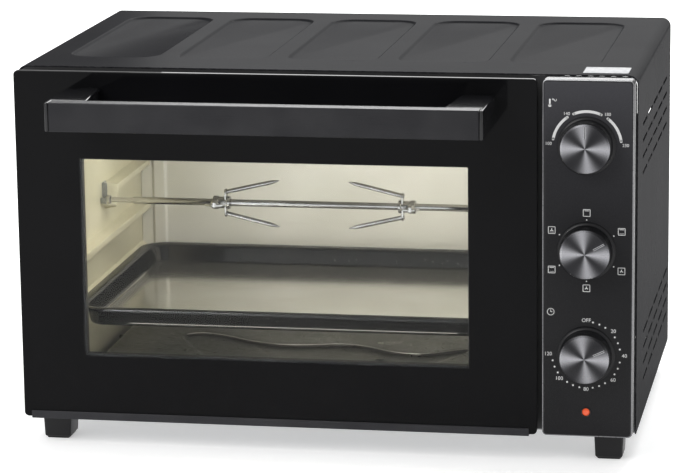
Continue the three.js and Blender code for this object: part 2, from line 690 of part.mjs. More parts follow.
/** Two-pronged fork on its hub; the prongs point along +x, one above and one below the bore. */
function fork() {
  const half = FORK.hubLength / 2;
  const hub = barX(FORK.hub, [-half, half], 0, 0);
  const prongs = [-1, 1].map((side) => {
    const profile = [
      [0, 0],
      [FORK.wire, 0],
      [FORK.wire, FORK.reach - FORK.tip],
      [0, FORK.reach],
    ];
    return turnedX(profile, 0, side * FORK.spread, 8);
  });
  const side = FORK.spread + FORK_BRIDGE.past;
  const bridge = box(FORK_BRIDGE.x, [-FORK_BRIDGE.half, FORK_BRIDGE.half], [-side, side]);
  const bore = barX(SPIT.radius + GAP, [-half - REACH, half + REACH], 0, 0, 16);
  const thread = barY(SCREW.radius + GAP, [-FORK.hub - REACH, 0], FORK.screw, 0);
  return cut(join(hub, bridge, ...prongs), bore, thread);
}

/** Wing screw that clamps a fork on the rod; its shank starts just in front of the rod. */
function thumbScrew() {
  const start = SPIT.radius + SCREW.shankGap;
  const shank = barZ(SCREW.radius, [start, SCREW.height - 1], 0, 0);
  const head = barZ(SCREW.head / 2, [FORK.hub + SCREW.headGap, SCREW.height], 0, 0);
  const half = SCREW.wingThickness / 2;
  const wingZ = [FORK.hub + SCREW.wingGap, SCREW.height + SCREW.wingRise];
  const wing = box([-SCREW.wing, SCREW.wing], [-half, half], wingZ);
  return join(shank, head, wing).rotateX(Math.PI / 2);
}

function addRotisserie(group) {
  addPart(group, 'spit_bracket', spitBracket(), FINISH.galvanised);
  addPart(group, 'spit_rod', spitRod(), FINISH.chrome);
  addPart(group, 'drive_socket', driveSocket(), FINISH.chrome);
  addPart(group, 'spit_motor', spitMotor(), FINISH.darkMetal);
  for (const [side, x, turn] of [['left', FORK.left, 0], ['right', FORK.right, Math.PI]]) {
    const holder = new THREE.Group();
    holder.position.set(x, SPIT.y, SPIT.z);
    holder.rotation.y = turn;
    addPart(holder, `fork_${side}`, fork(), FINISH.chrome);
    addPart(holder, `thumbscrew_${side}`, thumbScrew(), FINISH.chrome).position.x = FORK.screw;
    group.add(holder);
  }
}

// ---------------------------------------------------------------- controls

/** Holes for the spindles and the pilot lamp through a part of the panel. */
function panelHoles(spindleRadius, lampRadius) {
  const through = [FACE_FRONT - REACH, REACH];
  const holes = KNOBS.map((knob) => barY(spindleRadius, through, KNOB_X, knob.z));
  return [...holes, barY(lampRadius, through, KNOB_X, INDICATOR.z)];
}

/** Open-backed housing of the control panel. */
function controlPanel() {
  const front = FACE_FRONT + FACE_THICKNESS + GAP;
  const x = [PANEL.left, PANEL.right];
  const z = [PANEL.bottom, PANEL.top];
  const outer = extrudeY(roundedRectangle(x, z, PANEL.radius), [front, -GAP]);
  const hollow = box(
    [x[0] + PANEL.wall, x[1] - PANEL.wall],
    [front + PANEL.wall, REACH],
    [z[0] + PANEL.wall, z[1] - PANEL.wall],
  );
  return cut(outer, hollow, ...panelHoles(SPINDLE.panelHole, INDICATOR.radius + GAP));
}

/** Printed front plate of the control panel. */
function panelFace() {
  const inset = PANEL.faceInset;
  const outline = roundedRectangle(
    [PANEL.left + inset, PANEL.right - inset],
    [PANEL.bottom + inset, PANEL.top - inset],
    PANEL.radius - 1,
  );
  const plate = extrudeY(outline, [FACE_FRONT, FACE_FRONT + FACE_THICKNESS]);
  return cut(plate, ...panelHoles(SPINDLE.panelHole, INDICATOR.radius + GAP));
}

/** Knob body with a skirt, standing forward of its origin on the panel face. */
function knobBody() {
  const profile = [
    [0, -KNOB.socket],
    [SPINDLE.radius + GAP, -KNOB.socket],
    [SPINDLE.radius + GAP, -GAP],
    [KNOB.skirt, -GAP],
    [KNOB.skirt, -KNOB.skirtFront],
    [KNOB.waist, -KNOB.waistFront],
    [KNOB.front, -KNOB.height],
    [0, -KNOB.height],
  ];
  return turnedY(profile, 0, 0, 32);
}

/** Metal cap with a pointer groove towards +z. */
function knobCap() {
  const back = -KNOB.height - GAP;
  const front = back - KNOB_CAP.thickness;
  const profile = [
    [0, back],
    [KNOB_CAP.radius, back],
    [KNOB_CAP.radius, front + KNOB_CAP.edge],
    [KNOB_CAP.radius - KNOB_CAP.chamfer, front],
    [0, front],
  ];
  const half = KNOB_CAP.groove;
  const grooveY = [front - REACH, front + KNOB_CAP.grooveDepth];
  const groove = box([-half, half], grooveY, [KNOB_CAP.grooveFrom, KNOB_CAP.radius + REACH]);
  return cut(turnedY(profile, 0, 0, 32), groove);
}

/** Body of a control behind the front sheet, with the hole that its spindle turns in. */
function controlBody(body, knob) {
  return cut(body, barY(SPINDLE.radius + GAP, [-REACH, SPINDLE.back + 1], KNOB_X, knob.z));
}

function addControls(group) {
  addPart(group, 'control_panel', controlPanel(), FINISH.blackPlastic);
  addPart(group, 'panel_face', panelFace(), FINISH.glossBlack);
  for (const knob of KNOBS) {
    const holder = new THREE.Group();
    holder.position.set(KNOB_X, FACE_FRONT, knob.z);
    holder.rotation.y = THREE.MathUtils.degToRad(knob.pointer);
    addPart(holder, `${knob.name}_knob`, knobBody(), FINISH.blackPlastic);
    addPart(holder, `${knob.name}_knob_cap`, knobCap(), FINISH.darkMetal);
    const spindle = barY(SPINDLE.radius, [-SPINDLE.front, SPINDLE.back - FACE_FRONT], 0, 0);
    addPart(holder, `${knob.name}_spindle`, spindle, FINISH.galvanised);
    group.add(holder);
  }
  const [temperature, selector, timer] = KNOBS;
  const { front } = CONTROL;
  const square = (half, knob, depth) => {
    return box([KNOB_X - half, KNOB_X + half], [front, front + depth], [knob.z - half, knob.z + half]);
  };
  const thermostat = square(CONTROL.thermostat, temperature, CONTROL.thermostatDepth);
  const selectorSwitch = square(CONTROL.selector, selector, CONTROL.selectorDepth);
  addPart(group, 'thermostat', controlBody(thermostat, temperature), FINISH.ceramic);
  addPart(group, 'selector_switch', controlBody(selectorSwitch, selector), FINISH.ceramic);
  const timerBody = barY(CONTROL.timer, [front, front + CONTROL.timerDepth], KNOB_X, timer.z, 24);
  addPart(group, 'timer', controlBody(timerBody, timer), FINISH.galvanised);
  const lens = [
    [0, INDICATOR.front],
    [INDICATOR.domeRadius, INDICATOR.shoulder],
    [INDICATOR.radius, FACE_FRONT],
    [INDICATOR.radius, INDICATOR.back],
    [0, INDICATOR.back],
  ];
  addPart(group, 'indicator_lens', turnedY(lens, KNOB_X, INDICATOR.z), FINISH.redLens);
}

// ---------------------------------------------------------------- door

function doorGlass() {
  const outline = roundedRectangle([GLASS.left, GLASS.right], [GLASS.bottom, GLASS.top], GLASS.radius);
  return extrudeY(outline, [GLASS.front, GLASS.front + GLASS.thickness]);
}

/** Inner pan of the door: a back sheet with flanges forward to the glass, around and at the window. */
function doorFrame() {
  const front = GLASS.front + GLASS.thickness + GAP;
  const outer = box([FRAME.left, FRAME.right], [front, FRAME.back], [FRAME.bottom, FRAME.top]);
  const hollow = box(
    [FRAME.left + SHEET, FRAME.right - SHEET],
    [front - REACH, FRAME.back - SHEET],
    [FRAME.bottom + SHEET, FRAME.top - SHEET],
  );
  const sleeve = box(
    [WINDOW.left - SHEET, WINDOW.right + SHEET],
    [front, FRAME.back - SHEET / 2],
    [WINDOW.bottom - SHEET, WINDOW.top + SHEET],
  );
  const opening = box([WINDOW.left, WINDOW.right], [front - REACH, REACH], [WINDOW.bottom, WINDOW.top]);
  const pinHole = barX(HINGE.pin + GAP, [FRAME.left - REACH, FRAME.right + REACH], HINGE.y, HINGE.z);
  return cut(join(cut(outer, hollow), sleeve), opening, pinHole);
}

/** L-shaped metal strip over the lower edge of the glass. */
function doorBottomRail() {
  const front = GLASS.front - GAP - RAIL_STRIP.thickness;
  const back = GLASS.front + GLASS.thickness - GAP;
  const bottom = GLASS.bottom - GAP - RAIL_STRIP.thickness;
  const outline = polygon([
    [front, bottom],
    [back, bottom],
    [back, bottom + RAIL_STRIP.thickness],
    [front + RAIL_STRIP.thickness, bottom + RAIL_STRIP.thickness],
    [front + RAIL_STRIP.thickness, bottom + RAIL_STRIP.height],
    [front, bottom + RAIL_STRIP.height],
  ]);
  return extrudeX(outline, [RAIL_STRIP.left, RAIL_STRIP.right]);
}

/** Steel ear that carries a hinge pin in front of the casing; side is 1 on the left, -1 on the right. */
function hingeBracket(side) {
  const outerX = side > 0 ? HINGE_EAR.leftFlange : FRAME.right + HINGE_EAR.gap;
  const earX = side > 0 ? HINGE_EAR.leftEar : FRAME.right + HINGE_EAR.gap;
  const outline = new THREE.Shape();
  outline.moveTo(HINGE_EAR.back, HINGE.z - HINGE.ear);
  outline.lineTo(HINGE_EAR.back, HINGE.z + HINGE.ear);
  outline.absarc(HINGE.y, HINGE.z, HINGE.ear, Math.PI / 2, 1.5 * Math.PI);
  const ear = extrudeX(outline, [earX, earX + HINGE_EAR.thickness], 8);
  const flangeZ = [HINGE.z - HINGE.ear - HINGE_EAR.below, HINGE.z + HINGE_EAR.rise];
  const flange = box([outerX, outerX + HINGE_EAR.flangeWidth], HINGE_EAR.flange, flangeZ);
  const hole = barX(HINGE.pin + GAP / 2, [earX - REACH, earX + REACH], HINGE.y, HINGE.z);
  return cut(join(ear, flange), hole);
}

function hingePin(side) {
  const start = side > 0 ? HINGE.pinStart : FRAME.right - HINGE.length + HINGE.pinInside;
  return barX(HINGE.pin, [start, start + HINGE.length], HINGE.y, HINGE.z);
}

/** Handle bar: a channel, open towards the door. */
function handleBar() {
  const x = [HANDLE.left + HANDLE.cap + GAP, HANDLE.right - HANDLE.cap - GAP];
  const y = [HANDLE.front, HANDLE.front + HANDLE.barDepth];
  const { wall } = HANDLE;
  const bar = box(x, y, [HANDLE.bottom, HANDLE.top]);
  const channel = box(
    [x[0] + HANDLE.post, x[1] - HANDLE.post],
    [y[0] + wall, y[1] + wall],
    [HANDLE.bottom + wall, HANDLE.top - wall],
  );
  return cut(bar, channel);
}

/** Block between the bar and the door, with the end cap that closes the bar. */
function handlePost(side) {
  const end = side > 0 ? HANDLE.left : HANDLE.right;
  const barBack = HANDLE.front + HANDLE.barDepth + GAP;
  const outline = polygon([
    [end, HANDLE.front],
    [end + side * HANDLE.cap, HANDLE.front],
    [end + side * HANDLE.cap, barBack],
    [end + side * HANDLE.post, barBack],
    [end + side * HANDLE.post, GLASS.front - GAP],
    [end, GLASS.front - GAP],
  ]);
  return extrudeZ(outline, [HANDLE.bottom, HANDLE.top]);
}

function addDoor(group) {
  addPart(group, 'door_glass', doorGlass(), FINISH.glass);
  addPart(group, 'door_frame', doorFrame(), FINISH.blackPaint);
  addPart(group, 'door_bottom_rail', doorBottomRail(), FINISH.darkMetal);
  addPart(group, 'handle_bar', handleBar(), FINISH.darkMetal);
  for (const [name, side] of [['left', 1], ['right', -1]]) {
    addPart(group, `handle_post_${name}`, handlePost(side), FINISH.glossBlack);
    addPart(group, `hinge_bracket_${name}`, hingeBracket(side), FINISH.galvanised);
    addPart(group, `hinge_pin_${name}`, hingePin(side), FINISH.galvanised);
  }
}

// ---------------------------------------------------------------- assembly

const oven = new THREE.Group();
const middleY = (HANDLE.front + DEPTH + GLAND.out) / 2;
oven.position.set(-WIDTH / 2, -middleY, FOOT.height);
addCasing(oven);
addCavity(oven);
addFan(oven);
addRotisserie(oven);
addControls(oven);
addDoor(oven);

export default oven;
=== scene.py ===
"""Looks of a countertop rotisserie oven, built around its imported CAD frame.

Every shape is worked out in casing millimetres: x from the casing's left side, y from its front edge
towards the back, z from its underside. `to_frame` turns them into the frame's metres.
"""

import logging
from dataclasses import dataclass, field
from enum import Enum
from functools import lru_cache
from math import cos, pi, radians, sin
from typing import Callable, Iterable, Sequence

import bmesh
import bpy
import numpy as np
from mathutils import Matrix, Vector


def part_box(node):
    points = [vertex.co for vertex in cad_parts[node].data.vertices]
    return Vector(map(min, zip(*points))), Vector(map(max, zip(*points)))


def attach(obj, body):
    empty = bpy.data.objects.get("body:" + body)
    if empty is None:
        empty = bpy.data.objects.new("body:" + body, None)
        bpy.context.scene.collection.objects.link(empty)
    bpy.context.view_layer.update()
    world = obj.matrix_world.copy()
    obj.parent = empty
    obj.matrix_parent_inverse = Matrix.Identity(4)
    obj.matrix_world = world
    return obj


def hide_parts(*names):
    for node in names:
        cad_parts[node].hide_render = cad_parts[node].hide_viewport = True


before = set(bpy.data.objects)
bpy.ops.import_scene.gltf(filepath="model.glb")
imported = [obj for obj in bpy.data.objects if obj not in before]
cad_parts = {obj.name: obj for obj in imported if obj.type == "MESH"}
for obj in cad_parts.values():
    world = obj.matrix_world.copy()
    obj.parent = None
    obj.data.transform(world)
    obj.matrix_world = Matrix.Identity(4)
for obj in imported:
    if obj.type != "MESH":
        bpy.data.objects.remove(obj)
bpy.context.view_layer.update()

Colour = tuple[float, float, float]
Socket = bpy.types.NodeSocket
Material = bpy.types.Material

LOG = logging.getLogger("oven")
MM = 0.001
CASING_ORIGIN = np.array(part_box("outer_cover")[0])
SAME_POINT = 1e-6
SHORTEST_EDGE = 1e-7
SOFTENED_ANGLE = 35.0


class Slot(Enum):
    """Material slot names for the kinds of finish; no piece here takes its finish from them."""

    PAINT = "casing_paint"
    GALVANISED = "galvanised"
    CAVITY = "cavity_steel"
    ENAMEL = "tray_enamel"
    CHROME = "spit_chrome"
    PLASTIC = "black_plastic"
    GLOSS = "gloss_black"
    TRIM = "dark_trim"
    PANE = "door_pane"


class Axis(Enum):
    """The axis that a turned shape is turned about, as the order that takes (u, v, along) to (x, y, z)."""

    X = (2, 0, 1)
    Y = (0, 2, 1)
    Z = (0, 1, 2)


# ---------------------------------------------------------------- places


def to_frame(points: np.ndarray) -> np.ndarray:
    """Casing millimetres to the frame's metres: the casing's corner plus a thousandth of each number."""
    return CASING_ORIGIN + np.asarray(points, float) * MM


def span(node: str) -> tuple[np.ndarray, np.ndarray]:
    """The lowest and highest corner of a CAD node.

    Args:
        node: The node's name.

    Returns:
        The two corners in casing millimetres.
    """
    low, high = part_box(node)
    return (np.array(low) - CASING_ORIGIN) / MM, (np.array(high) - CASING_ORIGIN) / MM


def middle(node: str) -> np.ndarray:
    """The middle of a CAD node's box in casing millimetres."""
    low, high = span(node)
    return (low + high) / 2


# ---------------------------------------------------------------- shapes


@dataclass
class Shape:
    """Points in casing millimetres, and the faces that join them, each with a finish number."""

    points: np.ndarray
    faces: list[tuple[int, ...]]
    marks: list[int] = field(default_factory=list)

    def marked(self, mark: int) -> "Shape":
        """The same shape with every face in one finish."""
        return Shape(self.points, self.faces, [mark] * len(self.faces))

    def turned(self, angle: float, axis: Sequence[float], centre: Sequence[float]) -> "Shape":
        """The shape turned about an axis through a centre.

        Args:
            angle: Turn in radians, right-handed about the axis.
            axis: Direction of the axis.
            centre: A point on the axis.

        Returns:
            The turned shape.
        """
        turn = np.array(Matrix.Rotation(angle, 3, Vector(axis)))
        middle_point = np.asarray(centre, float)
        return Shape((self.points - middle_point) @ turn.T + middle_point, self.faces, self.marks)


def joined(shapes: Iterable[Shape]) -> Shape:
    """Several shapes as one: the points follow each other, and the face numbers move on by their count.

    Args:
        shapes: The shapes, in order.

    Returns:
        The joined shape.
    """
    points: list[np.ndarray] = []
    faces: list[tuple[int, ...]] = []
    marks: list[int] = []
    start = 0
    for shape in shapes:
        points.append(shape.points)
        faces += [tuple(i + start for i in face) for face in shape.faces]
        marks += shape.marks or [0] * len(shape.faces)
        start += len(shape.points)
    return Shape(np.concatenate(points), faces, marks)


def grid(points: np.ndarray, wrap: bool = False, keep: np.ndarray | None = None) -> Shape:
    """A sheet of quads over a grid of points: corner (i, j) joins (i+1, j), (i+1, j+1) and (i, j+1).

    Args:
        points: Array of rows, columns and three coordinates.
        wrap: Whether the last column joins the first.
        keep: A mask of rows-1 by columns-1 cells; a cell that is False is left out.

    Returns:
        The sheet.
    """
    rows, columns = points.shape[:2]
    number = np.arange(rows * columns).reshape(rows, columns)
    if wrap:
        number = np.concatenate([number, number[:, :1]], axis=1)
    quads = np.stack([number[:-1, :-1], number[1:, :-1], number[1:, 1:], number[:-1, 1:]], axis=-1)
    chosen = quads.reshape(-1, 4) if keep is None else quads[keep]
    return Shape(points.reshape(-1, 3), [tuple(quad) for quad in chosen.tolist()])


def loft(rings: np.ndarray) -> Shape:
    """A tube through closed rings of equal length, with a flat end on the first and last ring.

    Args:
        rings: Array of rings, points on a ring and three coordinates.

    Returns:
        The tube.
    """
    wall = grid(rings, wrap=True)
    count, size = rings.shape[:2]
    last = range((count - 1) * size, count * size)
    wall.faces += [tuple(range(size)), tuple(reversed(last))]
    return wall


def rounded_outline(u: Sequence[float], v: Sequence[float], radius: float, steps: int = 6) -> np.ndarray:
    """A rounded rectangle: four quarter circles, each about its own corner centre.

    Args:
        u: Limits on the first axis.
        v: Limits on the second axis.
        radius: Corner radius.
        steps: Steps in each quarter circle.

    Returns:
        Array of 4 * (steps + 1) points by two, counter-clockwise.
    """
    radius = max(radius, 0.01)
    centres = [(u[1] - radius, v[0] + radius), (u[1] - radius, v[1] - radius),
               (u[0] + radius, v[1] - radius), (u[0] + radius, v[0] + radius)]
    starts = np.array([-0.5, 0.0, 0.5, 1.0]) * pi
    angles = starts[:, None] + np.linspace(0, pi / 2, steps + 1)[None, :]
    arcs = np.stack([np.cos(angles), np.sin(angles)], axis=-1) * radius
    return (np.array(centres)[:, None, :] + arcs).reshape(-1, 2)


def plate_rings(u: Sequence[float], v: Sequence[float], radius: float,
                steps: Sequence[tuple[float, float]], order: Axis, corner: int = 6) -> np.ndarray:
    """Rings of one rounded rectangle, drawn in by an inset at each distance along an axis.

    Args:
        u: Limits on the first axis.
        v: Limits on the second axis.
        radius: Corner radius with no inset.
        steps: Pairs of inset and distance, in order.
        order: The axis that the distances run along.
        corner: Steps in each corner.

    Returns:
        Array of rings for `loft`.
    """
    rings = []
    for inset, along in steps:
        outline = rounded_outline((u[0] + inset, u[1] - inset), (v[0] + inset, v[1] - inset),
                                  max(radius - inset, 0.05), corner)
        ring = np.column_stack([outline, np.full(len(outline), along)])
        rings.append(ring[:, list(order.value)])
    return np.array(rings)


def lathe(profile: Sequence[tuple[float, float]], axis: Axis, centre: Sequence[float], segments: int = 48,
          ripple: Callable[[np.ndarray], np.ndarray] | None = None) -> Shape:
    """A profile of (radius, distance) points turned about an axis: radius times (cos, sin) of the angle.

    Args:
        profile: The points, from one end of the axis to the other.
        axis: The axis to turn about.
        centre: A point on the axis, whose own coordinate along it is added to the distances.
        segments: Steps round the circle.
        ripple: What is added to the radius at each angle, on points that aren't on the axis.

    Returns:
        The turned shape, closed where the profile meets the axis.
    """
    angles = np.linspace(0, 2 * pi, segments, endpoint=False)
    outline = np.array(profile, float)
    radius = np.broadcast_to(outline[:, :1], (len(outline), segments)).copy()
    if ripple is not None:
        radius += np.where(radius > 0, ripple(angles)[None, :], 0.0)
    along = np.broadcast_to(outline[:, 1:], radius.shape)
    local = np.stack([radius * np.cos(angles), radius * np.sin(angles), along], axis=-1)
    return grid(local[..., list(axis.value)] + np.asarray(centre, float), wrap=True)


def tube(path: Sequence[Sequence[float]], radii: Sequence[float] | float, segments: int = 14) -> Shape:
    """A round bar along a path: at each point a circle across the path's own direction.

    Args:
        path: Points of the centre line.
        radii: One radius, or one for each point.
        segments: Steps round the circle.

    Returns:
        The bar with flat ends.
    """
    line = np.array(path, float)
    along = np.gradient(line, axis=0)
    along /= np.linalg.norm(along, axis=1, keepdims=True)
    helper = np.array([0.31, 0.52, 0.79])
    side = np.cross(along, helper)
    side /= np.linalg.norm(side, axis=1, keepdims=True)
    up = np.cross(along, side)
    angles = np.linspace(0, 2 * pi, segments, endpoint=False)
    size = np.broadcast_to(np.asarray(radii, float), (len(line),))[:, None, None]
    circle = (np.cos(angles)[None, :, None] * side[:, None, :]
              + np.sin(angles)[None, :, None] * up[:, None, :])
    return loft(line[:, None, :] + size * circle)


def prism(outline: Sequence[Sequence[float]], limits: Sequence[float], order: Axis) -> Shape:
    """A flat outline carried straight along an axis.

    Args:
        outline: The outline's points on the two other axes.
        limits: Where it starts and ends.
        order: The axis that it is carried along.

    Returns:
        The closed prism.
    """
    flat = np.array(outline, float)
    rings = [np.column_stack([flat, np.full(len(flat), along)])[:, list(order.value)] for along in limits]
    return loft(np.array(rings))


def block(low: Sequence[float], high: Sequence[float]) -> Shape:
    """A box between two corners, as a prism of its plan."""
    plan = [(low[0], low[1]), (high[0], low[1]), (high[0], high[1]), (low[0], high[1])]
    return prism(plan, (low[2], high[2]), Axis.Z)


def smooth_step(value: np.ndarray) -> np.ndarray:
    """Nought below nought, one above one, and 3t^2 - 2t^3 between."""
    t = np.clip(value, 0, 1)
    return t * t * (3 - 2 * t)


def merged_lines(fine: Iterable[float], exact: Iterable[float], gap: float) -> np.ndarray:
    """Grid lines that hold every exact line, and the fine lines that stay a gap away from them.

    Args:
        fine: Lines that fill the space.
        exact: Lines that have to be there.
        gap: Least distance between a fine and an exact line.

    Returns:
        The sorted lines.
    """
    held = np.unique(np.round(np.array(list(exact), float), 4))
    filler = [f for f in fine if np.abs(held - f).min() >= gap]
    return np.unique(np.concatenate([held, np.array(filler, float)]))


# ---------------------------------------------------------------- pieces


@dataclass(frozen=True)
class Work:
    """How a piece is finished after its shape is made."""

    crease: float = 32.0
    thickness: float = 0.0
    bevel: float = 0.0
    bevel_steps: int = 2
    recalculate: bool = True


def make_piece(name: str, shape: Shape, body: str, finishes: Sequence["Finish"],
               replaces: Sequence[str] = (), work: Work = Work()) -> bpy.types.Object:
    """Turns a shape into a finished piece that rides on a CAD body.

    Args:
        name: The piece's name.
        shape: Its shape in casing millimetres.
        body: The CAD body that it moves with.
        finishes: Its finishes, in the order of the shape's marks.
        replaces: CAD nodes that it stands for.
        work: Its edges, thickness and normals.

    Returns:
        The new object, at the origin.
    """
    mesh = bpy.data.meshes.new(name)
    mesh.from_pydata(to_frame(shape.points).tolist(), [], shape.faces)
    if shape.marks:
        mesh.polygons.foreach_set("material_index", np.array(shape.marks, np.int32))
    tidy = bmesh.new()
    tidy.from_mesh(mesh)
    bmesh.ops.remove_doubles(tidy, verts=tidy.verts, dist=SAME_POINT)
    bmesh.ops.dissolve_degenerate(tidy, edges=tidy.edges, dist=SHORTEST_EDGE)
    if work.recalculate:
        bmesh.ops.recalc_face_normals(tidy, faces=tidy.faces)
    tidy.to_mesh(mesh)
    tidy.free()
    for finish in finishes:
        mesh.materials.append(finish.material())
    piece = bpy.data.objects.new(name, mesh)
    bpy.context.scene.collection.objects.link(piece)
    if work.thickness:
        thicken(piece, work.thickness)
    mesh = piece.data
    mesh.polygons.foreach_set("use_smooth", np.ones(len(mesh.polygons), bool))
    mesh.set_sharp_from_angle(angle=radians(work.crease))
    if work.bevel:
        soften_edges(piece, work)
    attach(piece, body)
    if replaces:
        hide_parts(*replaces)
    LOG.info("%s: %d faces on %s", name, len(mesh.polygons), body)
    return piece


def thicken(piece: bpy.types.Object, thickness: float) -> None:
    """Gives a sheet its wall behind the face, and keeps the result as its mesh.

    Args:
        piece: The object.
        thickness: The wall in millimetres.
    """
    wall = piece.modifiers.new("wall", "SOLIDIFY")
    wall.thickness = thickness * MM
    wall.offset = -1.0
    wall.use_even_offset = True
    bpy.context.view_layer.update()
    sheet = piece.data
    solid = bpy.data.meshes.new_from_object(piece.evaluated_get(bpy.context.evaluated_depsgraph_get()))
    piece.modifiers.clear()
    piece.data = solid
    bpy.data.meshes.remove(sheet)
    solid.name = piece.name


def soften_edges(piece: bpy.types.Object, work: Work) -> None:
    """Rounds a piece's sharp edges.

    Args:
        piece: The object.
        work: The width in millimetres and the steps of the rounding.
    """
    edge = piece.modifiers.new("edges", "BEVEL")
    edge.width = work.bevel * MM
    edge.segments = work.bevel_steps
    edge.limit_method = "ANGLE"
    edge.angle_limit = radians(SOFTENED_ANGLE)


def dress(finish: "Finish", *nodes: str) -> None:
    """Gives CAD nodes a finish.

    Args:
        finish: The finish.
        nodes: Names of the nodes.
    """
    material = finish.material()
    for node in nodes:
        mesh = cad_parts[node].data
        mesh.materials.clear()
        mesh.materials.append(material)
        LOG.info("%s: CAD node in %s", node, material.name)


# ---------------------------------------------------------------- finishes


class Board:
    """A node tree with short ways to add and join nodes."""

    def __init__(self, tree: bpy.types.NodeTree) -> None:
        """Keeps the tree that nodes go into."""
        self.tree = tree

    def feed(self, node: bpy.types.Node, key: str | int, value: object) -> None:
        """Joins a socket to an input, or sets the input to a plain value.

        Args:
            node: The node.
            key: The input's name or number.
            value: A socket, or a number, vector or colour.
        """
        target = node.inputs[key]
        if isinstance(value, Socket):
            self.tree.links.new(value, target)
        elif isinstance(value, tuple) and len(value) == 3 and target.type == "RGBA":
            target.default_value = (*value, 1.0)
        else:
            target.default_value = value

    def add(self, kind: str, settings: dict[str, object] | None = None,
            inputs: dict[str | int, object] | None = None) -> bpy.types.Node:
        """Adds a node.

        Args:
            kind: The node's type, without "ShaderNode".
            settings: Its properties.
            inputs: Its inputs, as sockets or values.

        Returns:
            The node.
        """
        node = self.tree.nodes.new("ShaderNode" + kind)
        for key, value in (settings or {}).items():
            setattr(node, key, value)
        for key, value in (inputs or {}).items():
            self.feed(node, key, value)
        return node

    def math(self, operation: str, *values: object) -> Socket:
        """The result of a Math node.

        Args:
            operation: Its operation.
            values: Its inputs.

        Returns:
            Its output.
        """
        node = self.add("Math", {"operation": operation}, dict(enumerate(values)))
        return node.outputs[0]

    def mix(self, factor: object, first: object, second: object) -> Socket:
        """Two colours mixed.

        Args:
            factor: Share of the second colour.
            first: A colour or socket.
            second: A colour or socket.

        Returns:
            The mixed colour.
        """
        node = self.add("Mix", {"data_type": "RGBA"}, {0: factor, 6: first, 7: second})
        return node.outputs[2]

    def ranged(self, value: object, old: tuple[float, float], new: tuple[object, object]) -> Socket:
        """A value carried from one range to another, and held inside it.

        Args:
            value: The value.
            old: Its lowest and highest.
            new: What those become.

        Returns:
            The new value.
        """
        inputs = {"Value": value, "From Min": old[0], "From Max": old[1], "To Min": new[0], "To Max": new[1]}
        return self.add("MapRange", None, inputs).outputs[0]

    def place(self) -> Socket:
        """Object coordinates."""
        return self.add("TexCoord").outputs["Object"]

    def effect(self, effect: "Effect", inputs: dict[str | int, object]) -> bpy.types.Node:
        """A shared effect placed in this tree.

        Args:
            effect: Which one.
            inputs: Its inputs.

        Returns:
            The group node.
        """
        node = self.tree.nodes.new("ShaderNodeGroup")
        node.node_tree = effect_group(effect)
        for key, value in inputs.items():
            self.feed(node, key, value)
        return node


class Effect(Enum):
    """Effects that several materials share."""

    GRAIN = "surface_grain"
    PATCHES = "tone_patches"
    DUST = "settled_dust"
    WEAR = "edge_wear"


EFFECT_SOCKETS = {
    Effect.GRAIN: (("Value", "Float"),
                   {"Stretch": "Vector", "Size": "Float", "Low": "Float", "High": "Float"}),
    Effect.PATCHES: (("Colour", "Color"), {"Size": "Float", "First": "Color", "Second": "Color"}),
    Effect.DUST: (("Mask", "Float"), {"Size": "Float", "Amount": "Float"}),
    Effect.WEAR: (("Mask", "Float"), {"Reach": "Float", "Size": "Float", "Amount": "Float"}),
}


@lru_cache(maxsize=None)
def effect_group(effect: Effect) -> bpy.types.NodeTree:
    """Builds a shared effect once.

    Args:
        effect: Which one.

    Returns:
        Its node group.
    """
    tree = bpy.data.node_groups.new(effect.value, "ShaderNodeTree")
    (out_name, out_kind), sockets = EFFECT_SOCKETS[effect]
    for name, kind in sockets.items():
        tree.interface.new_socket(name, in_out="INPUT", socket_type="NodeSocket" + kind)
    tree.interface.new_socket(out_name, in_out="OUTPUT", socket_type="NodeSocket" + out_kind)
    board = Board(tree)
    given = tree.nodes.new("NodeGroupInput").outputs
    result = {Effect.GRAIN: grain_nodes, Effect.PATCHES: patch_nodes, Effect.DUST: dust_nodes,
              Effect.WEAR: edge_highlight_nodes}[effect](board, given)
    tree.links.new(result, tree.nodes.new("NodeGroupOutput").inputs[0])
    return tree


def grain_nodes(board: Board, given: object) -> Socket:
    """Noise over stretched object coordinates, carried to the range from Low to High.

    Args:
        board: The group's board.
        given: The group's inputs.

    Returns:
        The value.
    """
    stretched = board.add("VectorMath", {"operation": "MULTIPLY"}, {0: board.place(), 1: given["Stretch"]})
    noise = board.add("TexNoise", None,
                      {"Vector": stretched.outputs[0], "Scale": given["Size"], "Detail": 4.0})
    return board.ranged(noise.outputs[0], (0.3, 0.7), (given["Low"], given["High"]))


def patch_nodes(board: Board, given: object) -> Socket:
    """Two tones mixed by broad, soft noise.

    Args:
        board: The group's board.
        given: The group's inputs.

    Returns:
        The mixed colour.
    """
    noise = board.add("TexNoise", None, {"Vector": board.place(), "Scale": given["Size"], "Detail": 2.0})
    share = board.ranged(noise.outputs[0], (0.35, 0.65), (0.0, 1.0))
    return board.mix(share, given["First"], given["Second"])


def dust_nodes(board: Board, given: object) -> Socket:
    """Dust on faces that look up: the normal's height to the fourth power, broken up by fine noise.

    Args:
        board: The group's board.
        given: The group's inputs.

    Returns:
        The mask.
    """
    normal = board.add("TexCoord").outputs["Normal"]
    height = board.add("SeparateXYZ", None, {0: normal}).outputs[2]
    facing = board.math("POWER", board.math("MAXIMUM", height, 0.0), 4.0)
    noise = board.add("TexNoise", None, {"Vector": board.place(), "Scale": given["Size"], "Detail": 6.0})
    specks = board.ranged(noise.outputs[0], (0.48, 0.75), (0.0, 1.0))
    return board.math("MULTIPLY", board.math("MULTIPLY", facing, specks), given["Amount"])


